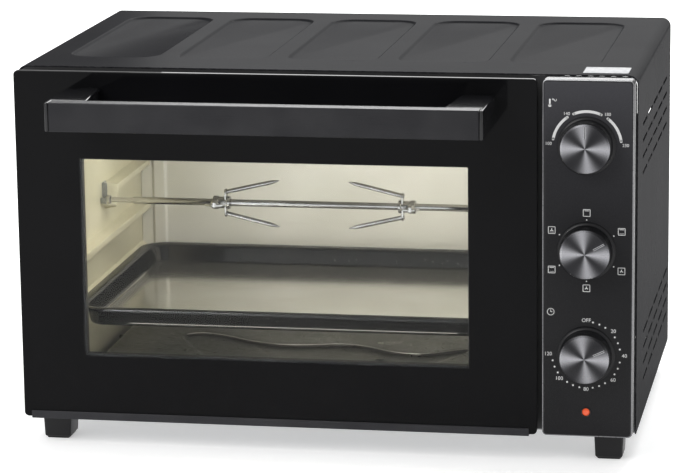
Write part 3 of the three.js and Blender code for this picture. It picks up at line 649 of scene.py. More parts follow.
def edge_highlight_nodes(board: Board, given: object) -> Socket:
    """Painted highlight on edges: how far a rounded edge's normal turns from the face's own, broken up by
    noise.

    Args:
        board: The group's board.
        given: The group's inputs.

    Returns:
        The mask.
    """
    rounded = board.add("Bevel", {"samples": 4}, {"Radius": given["Reach"]}).outputs[0]
    flat = board.add("NewGeometry").outputs["Normal"]
    likeness = board.add("VectorMath", {"operation": "DOT_PRODUCT"}, {0: rounded, 1: flat}).outputs["Value"]
    edge = board.ranged(likeness, (0.999, 0.9), (0.0, 1.0))
    noise = board.add("TexNoise", None, {"Vector": board.place(), "Scale": given["Size"], "Detail": 5.0})
    broken = board.ranged(noise.outputs[0], (0.4, 0.62), (0.0, 1.0))
    return board.math("MULTIPLY", board.math("MULTIPLY", edge, broken), given["Amount"])


# Reach and size of the painted edge highlight.
EDGE_HIGHLIGHT_REACH = 0.0006
EDGE_HIGHLIGHT_SIZE = 420.0
DUST_SIZE = 650.0
DUST_COLOUR = (0.32, 0.31, 0.29)


@dataclass(frozen=True)
class Finish:
    """A surface finish: two tones in soft patches, with a grain in its roughness and relief.

    Sizes of patches and grain are in repeats per metre, and relief is in metres.
    """

    name: str
    colour: Colour
    shade: Colour
    roughness: tuple[float, float]
    patches: float = 14.0
    grain: float = 900.0
    stretch: Colour = (1.0, 1.0, 1.0)
    relief: float = 0.00002
    strength: float = 0.3
    metallic: float = 0.0
    level: float = 0.5
    coat: float = 0.0
    coat_roughness: float = 0.05
    anisotropy: float = 0.0
    dust: float = 0.0
    wear: float = 0.0
    edge_highlight_colour: Colour = (0.35, 0.35, 0.36)

    def material(self) -> Material:
        """The finish as a material, made once."""
        found = bpy.data.materials.get(self.name)
        return found or self.build()

    def build(self) -> Material:
        """Makes the material's nodes.

        Returns:
            The new material.
        """
        material = bpy.data.materials.new(self.name)
        material.use_nodes = True
        material.node_tree.nodes.clear()
        board = Board(material.node_tree)
        grain = board.effect(Effect.GRAIN, {
            "Stretch": self.stretch, "Size": self.grain,
            "Low": self.roughness[0], "High": self.roughness[1]}).outputs[0]
        shader = board.add("BsdfPrincipled", None, {
            "Base Color": self.tone(board), "Roughness": grain, "Metallic": self.metallic,
            "Specular IOR Level": self.level, "Coat Weight": self.coat,
            "Coat Roughness": self.coat_roughness, "Anisotropic": self.anisotropy})
        bump = board.add("Bump", None, {"Strength": self.strength, "Distance": self.relief,
                                        "Height": self.height(board)})
        board.feed(shader, "Normal", bump.outputs[0])
        self.extras(board, shader)
        output = board.add("OutputMaterial")
        board.feed(output, "Surface", shader.outputs[0])
        return material

    def tone(self, board: Board) -> Socket:
        """The base colour: patches, then a painted edge highlight, then dust, where the finish has them.

        Args:
            board: The material's board.

        Returns:
            The colour.
        """
        tone = board.effect(Effect.PATCHES, {"Size": self.patches, "First": self.colour,
                                             "Second": self.shade}).outputs[0]
        # Edges lightened as a painted highlight.
        if self.wear:
            wear = {"Reach": EDGE_HIGHLIGHT_REACH, "Size": EDGE_HIGHLIGHT_SIZE, "Amount": self.wear}
            mask = board.effect(Effect.WEAR, wear).outputs[0]
            tone = board.mix(mask, tone, self.edge_highlight_colour)
        if self.dust:
            mask = board.effect(Effect.DUST, {"Size": DUST_SIZE, "Amount": self.dust}).outputs[0]
            tone = board.mix(mask, tone, DUST_COLOUR)
        return tone

    def height(self, board: Board) -> Socket:
        """The relief: the same grain from nought to one."""
        return board.effect(Effect.GRAIN, {"Stretch": self.stretch, "Size": self.grain,
                                           "Low": 0.0, "High": 1.0}).outputs[0]

    def extras(self, board: Board, shader: bpy.types.Node) -> None:
        """What a special finish adds to its shader; a plain one adds nothing."""


@dataclass(frozen=True)
class SpangledFinish(Finish):
    """Zinc-coated sheet, whose crystals differ in tone."""

    spangle: float = 160.0

    def tone(self, board: Board) -> Socket:
        """Each crystal of a Voronoi pattern gets its own share of the two tones."""
        cells = board.add("TexVoronoi", None, {"Vector": board.place(), "Scale": self.spangle})
        share = board.add("SeparateColor", None, {0: cells.outputs["Color"]}).outputs[0]
        return board.mix(share, self.colour, self.shade)


@dataclass(frozen=True)
class SpunFinishWithPaintedHighlight(Finish):
    """Metal turned on a lathe: fine rings about a centre, and a painted highlight in its base colour that
    fans out from it.
    """

    centre: Colour = (0.0, 0.0, 0.0)
    # The next three give the painted highlight: its colour, the angles and shares of its fans, and how narrow
    # they are.
    painted_highlight_colour: Colour = (0.34, 0.34, 0.36)
    highlight_lobes: tuple[tuple[float, float], ...] = ((91.0, 1.0), (171.0, 0.7))
    highlight_power: float = 9.0

    def height(self, board: Board) -> Socket:
        """Rings: noise read along the distance from the centre only."""
        flat = board.add("VectorMath", {"operation": "MULTIPLY"},
                         {0: self.shifted(board), 1: (1.0, 0.0, 1.0)}).outputs[0]
        distance = board.add("VectorMath", {"operation": "LENGTH"}, {0: flat}).outputs["Value"]
        line = board.add("CombineXYZ", None, {0: distance}).outputs[0]
        return board.add("TexNoise", None, {"Vector": line, "Scale": self.grain, "Detail": 3.0}).outputs[0]

    def shifted(self, board: Board) -> Socket:
        """Object coordinates measured from the centre."""
        offset = tuple(-c for c in self.centre)
        return board.add("Mapping", None, {"Vector": board.place(), "Location": offset}).outputs[0]

    def tone(self, board: Board) -> Socket:
        """Painted highlight of spun metal's fans: the sum of cos(2(a - a0)) lobes, each to a high power, at
        two angles.

        Args:
            board: The material's board.

        Returns:
            The base colour, lightened by the painted highlight in the fans and dark between them.
        """
        parts = board.add("SeparateXYZ", None, {0: self.shifted(board)}).outputs
        angle = board.math("ARCTAN2", parts[0], parts[2])
        highlight_share: object = 0.0
        for place, share in self.highlight_lobes:
            twice = board.math("MULTIPLY", board.math("SUBTRACT", angle, radians(place)), 2.0)
            wave = board.math("MULTIPLY_ADD", board.math("COSINE", twice), 0.5, 0.5)
            highlight_lobe = board.math("MULTIPLY", board.math("POWER", wave, self.highlight_power), share)
            highlight_share = board.math("ADD", highlight_share, highlight_lobe)
        return board.mix(highlight_share, super().tone(board), self.painted_highlight_colour)

    def extras(self, board: Board, shader: bpy.types.Node) -> None:
        """The highlight's direction runs round the middle of the piece."""
        tangent = board.add("Tangent", {"direction_type": "RADIAL", "axis": "Y"})
        board.feed(shader, "Tangent", tangent.outputs[0])


@dataclass(frozen=True)
class SpeckledFinish(Finish):
    """Vitreous enamel: glossy, with a soft ripple and scattered pale specks."""

    specks: float = 260.0
    speck_colour: Colour = (0.16, 0.16, 0.15)

    def tone(self, board: Board) -> Socket:
        """Specks where a Voronoi cell's centre is near and its own number is high.

        Args:
            board: The material's board.

        Returns:
            The colour.
        """
        base = super().tone(board)
        cells = board.add("TexVoronoi", None, {"Vector": board.place(), "Scale": self.specks})
        near = board.ranged(cells.outputs["Distance"], (0.16, 0.1), (0.0, 1.0))
        number = board.add("SeparateColor", None, {0: cells.outputs["Color"]}).outputs[1]
        chosen = board.math("GREATER_THAN", number, 0.8)
        return board.mix(board.math("MULTIPLY", near, chosen), base, self.speck_colour)


@dataclass(frozen=True)
class PaintedSheenFinish(Finish):
    """A lacquer with a painted sheen: its base colour is lighter towards the top, where the light falls on
    it.
    """

    # The painted sheen's colour at the top, and the heights over which it comes in.
    light: Colour = (0.05, 0.05, 0.056)
    limits: tuple[float, float] = (0.15, 0.36)

    def tone(self, board: Board) -> Socket:
        """The base colour mixed with the painted sheen's light colour by the square of the height between two
        limits.
        """
        height = board.add("SeparateXYZ", None, {0: board.place()}).outputs[2]
        share = board.ranged(height, self.limits, (0.0, 1.0))
        return board.mix(board.math("MULTIPLY", share, share), super().tone(board), self.light)


@dataclass(frozen=True)
class ClearFinish(Finish):
    """Clear glass with a faint tint."""

    ior: float = 1.45

    def extras(self, board: Board, shader: bpy.types.Node) -> None:
        """Lets light through."""
        shader.inputs["Transmission Weight"].default_value = 1.0
        shader.inputs["IOR"].default_value = self.ior


@dataclass(frozen=True)
class GlowFinish(Finish):
    """A lit surface, brighter in some places than in others."""

    glow: Colour = (1.0, 0.8, 0.5)
    power: float = 1.0
    dimmest: float = 0.6

    def extras(self, board: Board, shader: bpy.types.Node) -> None:
        """Light of its own, in two soft tones.

        Args:
            board: The material's board.
            shader: The Principled shader.
        """
        dim = tuple(self.dimmest * part for part in self.glow)
        light = board.effect(Effect.PATCHES,
                             {"Size": self.patches, "First": self.glow, "Second": dim}).outputs[0]
        board.feed(shader, "Emission Color", light)
        shader.inputs["Emission Strength"].default_value = self.power


# The powder coat's edges get a painted highlight.
POWDER_COAT = Finish("black_powder_coat", (0.013, 0.0132, 0.015), (0.0105, 0.0107, 0.0125), (0.5, 0.6),
                     grain=1500, relief=0.00004, strength=0.3, level=0.0, coat=0.08, coat_roughness=0.22,
                     dust=0.02, wear=0.25)
INNER_PAINT = Finish("inner_black_paint", (0.014, 0.014, 0.015), (0.01, 0.01, 0.011), (0.4, 0.55), grain=1300,
                     relief=0.00003)
MOULDED = Finish("moulded_black_plastic", (0.009, 0.009, 0.01), (0.006, 0.006, 0.007), (0.3, 0.42),
                 grain=2600, relief=0.00003, strength=0.4, level=0.25)
HOUSING = Finish("panel_housing_plastic", (0.02, 0.02, 0.022), (0.016, 0.016, 0.018), (0.2, 0.28), grain=2200,
                 relief=0.00001, strength=0.2, level=0.3)
# The face's lacquer carries a painted sheen towards its top.
FACE = PaintedSheenFinish("panel_face_lacquer", (0.007, 0.007, 0.008), (0.005, 0.005, 0.006), (0.22, 0.3),
                   grain=2400, relief=0.00001, strength=0.15, level=0.16)
BLACK_GLASS = Finish("black_backed_glass", (0.0035, 0.0035, 0.004), (0.003, 0.003, 0.0034), (0.03, 0.07),
                     grain=40, relief=0.00001, strength=0.04, level=0.07)
GLOSS_PLASTIC = Finish("gloss_black_plastic", (0.008, 0.008, 0.009), (0.006, 0.006, 0.007), (0.08, 0.14),
                       grain=1800, relief=0.00001, strength=0.1, level=0.35)
BRUSHED_BAR = Finish("brushed_dark_bar", (0.02, 0.02, 0.022), (0.014, 0.014, 0.016), (0.26, 0.4),
                     patches=25, grain=60, stretch=(0.6, 30.0, 60.0), relief=0.00003, strength=0.45,
                     metallic=0.6, level=0.4)
SATIN_STRIP = Finish("satin_dark_strip", (0.03, 0.03, 0.033), (0.022, 0.022, 0.025), (0.4, 0.5), grain=60,
                     stretch=(0.6, 30.0, 60.0), relief=0.00002, strength=0.25, metallic=0.75)
CAVITY_SHEET = Finish("aluminised_sheet", (0.6, 0.59, 0.545), (0.51, 0.5, 0.455), (0.28, 0.4), patches=9,
                      grain=160, relief=0.00001, strength=0.1, metallic=0.45)
SIDE_SHEET = Finish("aluminised_side_sheet", (0.56, 0.53, 0.4), (0.48, 0.455, 0.335), (0.29, 0.4), patches=9,
                    grain=160, relief=0.00001, strength=0.1, metallic=0.5)
# A dark tone for the floor plate and its eyelet: painted shade for where it lies under the tray.
SHADED_FLOOR_SHEET = Finish("floor_sheet_painted_shade", (0.15, 0.148, 0.14), (0.1, 0.098, 0.092), (0.26, 0.42), patches=16,
                     grain=200, relief=0.00002, strength=0.15, metallic=0.8)
GALVANISED = SpangledFinish("galvanised_steel", (0.42, 0.43, 0.44), (0.3, 0.31, 0.32), (0.35, 0.5), grain=500,
                            metallic=0.85)
CHROME = Finish("chrome_plate", (0.56, 0.56, 0.57), (0.46, 0.455, 0.45), (0.08, 0.18), patches=60, grain=700,
                relief=0.00001, strength=0.2, metallic=1.0)
HEATER_STEEL = Finish("oxidised_heater", (0.09, 0.08, 0.075), (0.05, 0.045, 0.045), (0.4, 0.6), patches=40,
                      grain=1200, metallic=0.7)
MOTOR_STEEL = Finish("motor_can", (0.2, 0.2, 0.205), (0.15, 0.15, 0.155), (0.35, 0.5), grain=900,
                     metallic=0.8)
ENAMEL = SpeckledFinish("black_enamel", (0.007, 0.007, 0.007), (0.005, 0.005, 0.005), (0.07, 0.12),
                        patches=20, grain=60, relief=0.00001, strength=0.08, level=0.5)
CERAMIC = Finish("switch_ceramic", (0.62, 0.58, 0.5), (0.55, 0.5, 0.43), (0.5, 0.7), grain=1500,
                 relief=0.00004)
# A pale metal tone for a painted highlight along the control housing's front edge.
RIM_HIGHLIGHT = Finish("painted_highlight_edge", (0.3, 0.3, 0.31), (0.22, 0.22, 0.23), (0.25, 0.35), patches=20, grain=900,
                   relief=0.00001, metallic=0.6)
# A pale sheet tone for a painted highlight along the floor field's far edge.
FIELD_EDGE_HIGHLIGHT = Finish("painted_highlight_sheet_edge", (0.4, 0.39, 0.36), (0.3, 0.29, 0.27), (0.3, 0.4), patches=30, grain=300,
                relief=0.00001, metallic=0.3)
TRAY_FLOOR = Finish("polished_tray_floor", (0.6, 0.59, 0.56), (0.5, 0.49, 0.46), (0.1, 0.2), patches=12,
                    grain=50, stretch=(1.0, 14.0, 1.0), relief=0.00002, strength=0.12, metallic=0.95)
INK = Finish("pale_ink", (0.62, 0.62, 0.62), (0.55, 0.55, 0.55), (0.45, 0.6), grain=3000)
# A bright tone for the pointer's rails, a painted highlight on the groove's edges.
POINTER_HIGHLIGHT = Finish("pointer_painted_highlight", (0.6, 0.6, 0.62), (0.5, 0.5, 0.52), (0.2, 0.3), metallic=0.9)
FOIL = Finish("silver_foil", (0.19, 0.193, 0.2), (0.13, 0.133, 0.14), (0.4, 0.55), patches=90, grain=500,
              relief=0.00004, metallic=0.8)
PILOT = GlowFinish("pilot_lens", (0.5, 0.06, 0.02), (0.42, 0.05, 0.02), (0.15, 0.25), grain=2000,
                   glow=(1.0, 0.16, 0.05), power=0.3)
FILAMENT = GlowFinish("lit_bulb", (0.9, 0.85, 0.7), (0.85, 0.78, 0.62), (0.1, 0.2), glow=(1.0, 0.86, 0.62),
                      power=0.6)
PANE = ClearFinish("clear_pane", (0.97, 0.98, 0.97), (0.94, 0.96, 0.94), (0.0, 0.02), grain=30,
                   relief=0.000001, strength=0.02, ior=1.18)
LAMP_GLASS = GlowFinish("lit_lamp_glass", (0.8, 0.78, 0.7), (0.74, 0.7, 0.6), (0.05, 0.2), patches=120,
                        grain=900, relief=0.0002, strength=0.4, glow=(1.0, 0.9, 0.7), power=1.6)
PALE_FLOOR = GlowFinish("pale_floor", (0.86, 0.86, 0.86), (0.84, 0.84, 0.84), (0.6, 0.7), patches=2,
                        grain=40, relief=0.00001, strength=0.05, level=0.2, glow=(1.0, 1.0, 1.0), power=0.4,
                        dimmest=0.96)


# ---------------------------------------------------------------- casing


@dataclass
class Casing:
    """The wrapped sheet cover with pressed panels and louvres, and what is fixed to it."""

    bend: float = 8.0
    sheet: float = 1.0
    panels: int = 5
    panel_first: float = 29.0
    panel_pitch: float = 98.0
    panel_width: float = 82.0
    panel_front: float = 53.0
    panel_back: float = 302.0
    panel_radius: float = 22.0
    panel_depth: float = 1.9
    slope: float = 3.4
    slot_length: float = 42.0
    slot_height: float = 3.2
    slot_pitch: float = 53.0
    slot_rise: float = 14.3
    slot_columns: int = 5
    slot_rows: int = 4
    slot_starts: tuple[tuple[float, float], ...] = ((68.0, 219.0), (86.0, 32.0))
    side_line_pitch: float = 8.0
    side_line_gap: float = 2.2
    bend_steps: int = 9
    foot_corner: float = 3.0
    pad_inset: float = 2.6
    label_u: tuple[float, float] = (492.0, 530.5)
    label_v: tuple[float, float] = (9.0, 40.0)
    label_corner: float = 1.5
    screw_columns: tuple[float, ...] = (14.0, 180.0, 360.0, 526.0)
    screw_rows: tuple[float, float] = (14.0, 298.0)
    side_screws: tuple[tuple[float, float], ...] = ((14.0, 156.0), (526.0, 156.0))
    screw_turn: float = 0.4
    # Reach and half width of the dark bars that stand in as the recess's painted shade.
    recess_shade_size: tuple[float, float] = (1.7, 0.35)

    def build(self) -> None:
        """Makes every piece of the casing and dresses its CAD nodes."""
        self.low, self.high = span("outer_cover")
        self.build_cover()
        self.build_feet()
        self.build_label()
        self.build_screws()
        dress(POWDER_COAT, "back_panel")
        dress(INNER_PAINT, "front_frame")
        dress(GALVANISED, "base_pan")
        dress(MOULDED, "cord_gland")
        dress(CERAMIC, "terminal_block")

    def slot_limits(self) -> tuple[list[tuple[float, float]], list[tuple[float, float, float, float]]]:
        """Where the louvre slots are.

        Returns:
            Their y limits, and for each slot its limits on y and z.
        """
        slots = []
        for first_y, first_z in self.slot_starts:
            for column in range(self.slot_columns):
                for row in range(self.slot_rows):
                    y = first_y + column * self.slot_pitch
                    z = first_z + row * self.slot_rise
                    slots.append((y - self.slot_length / 2, y + self.slot_length / 2,
                                  z - self.slot_height / 2, z + self.slot_height / 2))
        return [slot[:2] for slot in slots], slots

    def build_cover(self) -> None:
        """One sheet: left side, bend, top with its pressed panels, bend, right side with its slots.

        Each bend is a quarter circle. Every part shares the same grid lines along y, so they join.
        """
        depth, width, height = self.high[1], self.high[0], self.high[2]
        y_limits, slots = self.slot_limits()
        exact = [0.0, depth] + [edge for pair in y_limits for edge in pair]
        y = merged_lines(np.arange(0, depth, self.side_line_pitch), exact, self.side_line_gap)
        bend = np.linspace(0, pi / 2, self.bend_steps)
        left = [(0.0, z) for z in np.linspace(0, height - self.bend, 5)]
        left += [(self.bend - self.bend * cos(a), height - self.bend + self.bend * sin(a)) for a in bend[1:]]
        cells_left = self.panel_first - (self.panel_pitch - self.panel_width) / 2
        cells_right = cells_left + self.panels * self.panel_pitch
        left += [(self.bend + 1.0, height), (cells_left, height)]
        z_edges = sorted({edge for slot in slots for edge in slot[2:]})
        straight = height - self.bend
        z = merged_lines(np.arange(0, straight, 20.0), [0.0, straight] + z_edges, 2.0)[::-1]
        right = [(cells_right, height), (width - self.bend - 1.0, height)]
        right += [(width - self.bend + self.bend * sin(a), straight + self.bend * cos(a)) for a in bend]
        right += [(width, value) for value in z[1:]]
        open_cells = self.right_cells(np.array(right), y, slots)
        top = [self.panel_cell(cells_left + i * self.panel_pitch, y, height) for i in range(self.panels)]
        cover = joined([self.strip(left, y), *top, self.strip(right, y, open_cells)])
        work = Work(crease=50, thickness=self.sheet, recalculate=False)
        make_piece("pressed_cover", cover, "casing", [POWDER_COAT], ["outer_cover"], work)

    def strip(self, section: Sequence[tuple[float, float]], y: np.ndarray,
              keep: np.ndarray | None = None) -> Shape:
        """A section of (x, z) points carried along the y lines.

        Args:
            section: The points, from left to right over the top.
            y: The lines.
            keep: Cells that are there.

        Returns:
            The sheet, facing out.
        """
        outline = np.array(section)
        shape = (len(outline), len(y))
        x = np.broadcast_to(outline[:, :1], shape)
        z = np.broadcast_to(outline[:, 1:], shape)
        return grid(np.stack([x, np.broadcast_to(y, shape), z], axis=-1), keep=keep)

    def right_cells(self, section: np.ndarray, y: np.ndarray,
                    slots: Sequence[tuple[float, float, float, float]]) -> np.ndarray:
        """Which cells of the right side are sheet: all but those whose middle is in a slot.

        Args:
            section: The (x, z) points of the right side.
            y: The grid lines along y.
            slots: The slots' limits.

        Returns:
            The mask of cells.
        """
        z_mid = (section[:-1, 1] + section[1:, 1])[:, None] / 2
        y_mid = (y[:-1] + y[1:])[None, :] / 2
        keep = np.ones((len(section) - 1, len(y) - 1), bool)
        for y0, y1, z0, z1 in slots:
            inside = (y_mid > y0) & (y_mid < y1) & (z_mid > z0) & (z_mid < z1)
            keep &= ~inside
        return keep

    def panel_cell(self, start: float, y: np.ndarray, height: float) -> Shape:
        """One cell of the top: rings that go from its square border to the pressed panel's floor.

        A border point that faces a straight edge goes straight to it, and one past it goes to the
        quarter circle, at 45 degrees times how far past it is. The drop is a smooth step of the inset.

        Args:
            start: The cell's left side.
            y: The grid lines along y.
            height: The casing's top.

        Returns:
            The cell's sheet.
        """
        x = np.linspace(start, start + self.panel_pitch, 21)
        border = np.concatenate([
            np.column_stack([x, np.full(len(x), y[0])])[:-1],
            np.column_stack([np.full(len(y), x[-1]), y])[:-1],
            np.column_stack([x[::-1], np.full(len(x), y[-1])])[:-1],
            np.column_stack([np.full(len(y), x[0]), y[::-1]])[:-1]])
        centre = np.array([start + self.panel_pitch / 2, (self.panel_front + self.panel_back) / 2])
        cell = np.array([self.panel_pitch / 2, 0.0])
        half = np.array([self.panel_width / 2, (self.panel_back - self.panel_front) / 2])
        offset = border - centre
        sign = np.where(offset < 0, -1.0, 1.0)
        far = np.abs(offset)
        on_side = far[:, 0] >= cell[0] - 1e-6
        rings = [np.column_stack([border, np.full(len(border), height)])]
        for inset in (-0.8, *np.linspace(0, self.slope, 6)):
            radius = self.panel_radius - inset
            core = half - inset - radius
            reach = np.where(offset[:, 1] < 0, centre[1] - y[0], y[-1] - centre[1])
            past_y = np.clip((far[:, 1] - core[1]) / (reach - core[1]), 0, 1)
            past_x = np.clip((far[:, 0] - core[0]) / (cell[0] - core[0]), 0, 1)
            angle = np.where(on_side, pi / 4 * past_y, pi / 2 - pi / 4 * past_x)
            corner = core + radius * np.column_stack([np.cos(angle), np.sin(angle)])
            straight_side = np.column_stack([np.full(len(far), half[0] - inset), far[:, 1]])
            straight_end = np.column_stack([far[:, 0], np.full(len(far), half[1] - inset)])
            is_corner = np.where(on_side, past_y > 0, past_x > 0)[:, None]
            straight = np.where(on_side[:, None], straight_side, straight_end)
            ring = centre + sign * np.where(is_corner, corner, straight)
            drop = self.panel_depth * smooth_step(np.array([max(inset, 0) / self.slope]))[0]
            rings.append(np.column_stack([ring, np.full(len(ring), height - drop)]))
        stack = np.array(rings)
        cell_sheet = grid(stack[::-1].copy(), wrap=True)
        cell_sheet.faces.append(tuple(range(stack.shape[1])))
        return cell_sheet

    def build_feet(self) -> None:
        """Four feet: rounded rectangles that narrow towards the sole, each with a softened edge and a pad."""
        for row in ("front", "rear"):
            for side in ("left", "right"):
                node = f"foot_{row}_{side}"
                low, high = span(node)
                tall = high[2] - low[2]
                steps = [(0.0, high[2]), (0.2, high[2] - 3), (1.1, low[2] + 0.16 * tall), (1.3, low[2] + 2.4),
                         (2.2, low[2] + 1.6)]
                rings = plate_rings((low[0], high[0]), (low[1], high[1]), self.foot_corner, steps, Axis.Z, 5)
                inner, outer = low + self.pad_inset, high - self.pad_inset
                pad = plate_rings((inner[0], outer[0]), (inner[1], outer[1]), 2.5,
                                  [(0.0, low[2] + 2.0), (0.0, low[2] + 0.5), (0.5, low[2])], Axis.Z, 5)
                shape = joined([loft(rings), loft(pad)])
                make_piece(f"moulded_{node}", shape, "casing", [MOULDED], [node])

    def build_label(self) -> None:
        """A blank foil plate near the front right of the top."""
        top = self.high[2]
        steps = [(0.0, top - 0.05), (0.0, top + 0.1), (0.1, top + 0.15)]
        rings = plate_rings(self.label_u, self.label_v, self.label_corner, steps, Axis.Z)
        make_piece("foil_plate", loft(rings), "casing", [FOIL])

    def build_screws(self) -> None:
        """Domed screws round the back panel: a turned head with a cross recess drawn as four low dark arms of
        painted shade.
        """
        back = span("back_panel")[1][1]
        places = [(x, z) for x in self.screw_columns for z in self.screw_rows]
        profile = [(0.0, 1.15), (1.4, 1.2), (2.6, 1.0), (3.5, 0.35), (3.6, 0.0), (0.0, 0.0)]
        reach, half = self.recess_shade_size
        heads = []
        for x, z in (*places, *self.side_screws):
            heads.append(lathe(profile, Axis.Y, (x, back, z), 20))
            for turn in (0.0, pi / 2):
                # Dark bars of painted shade standing in for the cross recess.
                recess_shade_bar = block((x - reach, back + 0.9, z - half), (x + reach, back + 1.24, z + half))
                heads.append(recess_shade_bar.turned(turn + self.screw_turn, (0, 1, 0), (x, back, z)).marked(1))
        make_piece("back_screws", joined(heads), "casing",
                   [MOTOR_STEEL, INNER_PAINT])


# ---------------------------------------------------------------- cavity


@dataclass
class Cavity:
    """The bright oven space: its pressed walls, floor plate, tray, heaters, lamp and fan."""

    guide_tops: tuple[float, ...] = (91.4, 134.0)
    half_guide: tuple[float, float] = (176.0, 172.0)
    guide_reach: float = 11.0
    guide_height: float = 8.4
    bead_width: float = 13.0
    bead_inset: float = 18.0
    bead_depth: float = 2.0
    guide_fronts: tuple[float, float] = (22.0, 22.0)
    guide_back: float = 295.0
    guide_nose: tuple[float, float] = (7.0, 15.0)
    guide_slope: float = 2.2
    field_sink: float = 2.6
    field_slope: float = 2.8
    field_corners: tuple[tuple[float, float], ...] = (
        (94, 188), (110, 204), (137, 196), (166, 176), (196, 166), (222, 168), (250, 178), (275, 172),
        (302, 152), (330, 146), (356, 164), (374, 176), (366, 150), (334, 96), (300, 62), (228, 48),
        (172, 70), (128, 128))
    far_corners: int = 11
    corner_cuts: int = 2
    plate_lines: tuple[int, int] = (236, 180)
    drain: tuple[float, float] = (295.0, 128.0)
    tray_radius: float = 26.0

    def build(self) -> None:
        """Makes every piece of the cavity and dresses its CAD nodes."""
        self.build_left_wall()
        self.build_back_wall()
        self.build_floor_plate()
        self.build_tray()
        dress(CAVITY_SHEET, "cavity_right_wall", "cavity_ceiling", "cavity_floor", "fan_blade")
        dress(HEATER_STEEL, "upper_heater_front", "upper_heater_rear", "lower_heater_front",
              "lower_heater_rear")
        dress(GALVANISED, "lamp_housing", "fan_housing")
        dress(MOTOR_STEEL, "fan_motor")
        dress(LAMP_GLASS, "lamp_glass")
        dress(FILAMENT, "lamp_bulb")

    def guide_lift(self, y: np.ndarray, z: np.ndarray) -> np.ndarray:
        """How far the left wall stands out at each point.

        A guide is a bead about a line that runs back at one height, and turns down at its front end.
        Its height is a smooth step of how far the point is inside the bead's half width.

        Args:
            y: Places along the depth.
            z: Heights.

        Returns:
            The lift in millimetres.
        """
        lift = np.zeros(np.broadcast(y, z).shape)
        back, drop = self.guide_nose
        for top, front in (*zip(self.guide_tops, self.guide_fronts), self.half_guide):
            centre = top - self.guide_height / 2
            corners = [(self.guide_back, centre), (front, centre), (front - back, centre - drop)]
            distance = np.full(lift.shape, 1e9)
            for (y0, z0), (y1, z1) in zip(corners[:-1], corners[1:]):
                run = np.array([y1 - y0, z1 - z0])
                share = np.clip(((y - y0) * run[0] + (z - z0) * run[1]) / (run @ run), 0, 1)
                distance = np.minimum(distance, np.hypot(y - y0 - share * run[0], z - z0 - share * run[1]))
            inside = self.guide_height / 2 + 0.7 - distance
            lift = np.maximum(lift, smooth_step(inside / self.guide_slope))
        return lift * self.guide_reach

    def build_left_wall(self) -> None:
        """The left wall: a sheet on a (y, z) grid, lifted by its guides."""
        low, high = span("cavity_left_wall")
        beads = [top - self.guide_height / 2 for top in (*self.guide_tops, self.half_guide[0])]
        fine_z = np.concatenate([np.arange(b - 22.0, b + 6.5, 0.8) for b in beads])
        z = merged_lines(np.linspace(low[2], high[2], 30), [*fine_z, low[2], high[2]], 0.6)
        fronts = (18.0, self.half_guide[1] - 4.0)
        fine_y = np.concatenate([np.arange(f - 12, f + 12, 1.0) for f in fronts])
        y = merged_lines(np.linspace(low[1], high[1], 34), [*fine_y, low[1], high[1]], 0.8)
        yy, zz = np.meshgrid(y, z, indexing="ij")
        inner = low[0] + 1.0
        points = np.stack([inner + self.guide_lift(yy, zz), yy, zz], axis=-1)
        wall = grid(points)
        make_piece("pressed_left_wall", wall, "casing", [SIDE_SHEET],
                   ["cavity_left_wall"], Work(crease=40, thickness=0.8, recalculate=False))

    def build_back_wall(self) -> None:
        """The rear wall: a sheet on an (x, z) grid with an upright bead near each side."""
        low, high = span("cavity_back_wall")
        wall_y = high[1] - 1.0
        centres = (low[0] + self.bead_inset, high[0] - self.bead_inset)
        fine = np.concatenate([np.arange(c - 10, c + 10.1, 0.8) for c in centres])
        x = merged_lines(np.linspace(low[0], high[0], 24), [*fine, low[0], high[0]], 1.0)
        z = np.concatenate([np.linspace(low[2], low[2] + 16, 11), np.linspace(low[2] + 40, high[2] - 40, 6),
                            np.linspace(high[2] - 16, high[2], 11)])
        xx, zz = np.meshgrid(x, z, indexing="ij")
        lift = np.zeros(xx.shape)
        for centre in centres:
            across = smooth_step((self.bead_width / 2 + 0.8 - np.abs(xx - centre)) / 2.4)
            ends = smooth_step((np.minimum(zz - low[2], high[2] - zz) - 7.0) / 4.0)
            lift = np.maximum(lift, across * ends)
        points = np.stack([xx, wall_y - self.bead_depth * lift, zz], axis=-1)
        make_piece("pressed_back_wall", grid(points), "casing", [CAVITY_SHEET],
                   ["cavity_back_wall"], Work(crease=40, thickness=0.8, recalculate=False))

    def star_outline(self) -> np.ndarray:
        """The floor plate's pressed field: a closed run of corners, each side cut at its quarter points."""
        corners = np.array(self.field_corners, float)
        for _ in range(self.corner_cuts):
            following = np.roll(corners, -1, axis=0)
            cut = np.stack([0.75 * corners + 0.25 * following, 0.25 * corners + 0.75 * following], axis=1)
            corners = cut.reshape(-1, 2)
        return corners

    def field_depth(self, x: np.ndarray, y: np.ndarray) -> np.ndarray:
        """Signed distance inside the pressed field's outline.

        The distance to each side of the outline is the least, and its sign comes from crossings.

        Args:
            x: Places along the width.
            y: Places along the depth.

        Returns:
            Distances in millimetres, positive inside.
        """
        corners = self.star_outline()
        ends = np.roll(corners, -1, axis=0)
        point = np.stack([x, y], axis=-1)[..., None, :]
        run = ends - corners
        share = np.clip(((point - corners) * run).sum(-1) / (run * run).sum(-1), 0, 1)
        nearest = corners + share[..., None] * run
        distance = np.linalg.norm(point - nearest, axis=-1).min(-1)
        crosses = (corners[:, 1] > point[..., 1]) != (ends[:, 1] > point[..., 1])
        slope = np.where(np.abs(run[:, 1]) < 1e-9, 1e-9, run[:, 1])
        reach = corners[:, 0] + (point[..., 1] - corners[:, 1]) * run[:, 0] / slope
        inside = (crosses & (point[..., 0] < reach)).sum(-1) % 2 == 1
        return np.where(inside, distance, -distance)

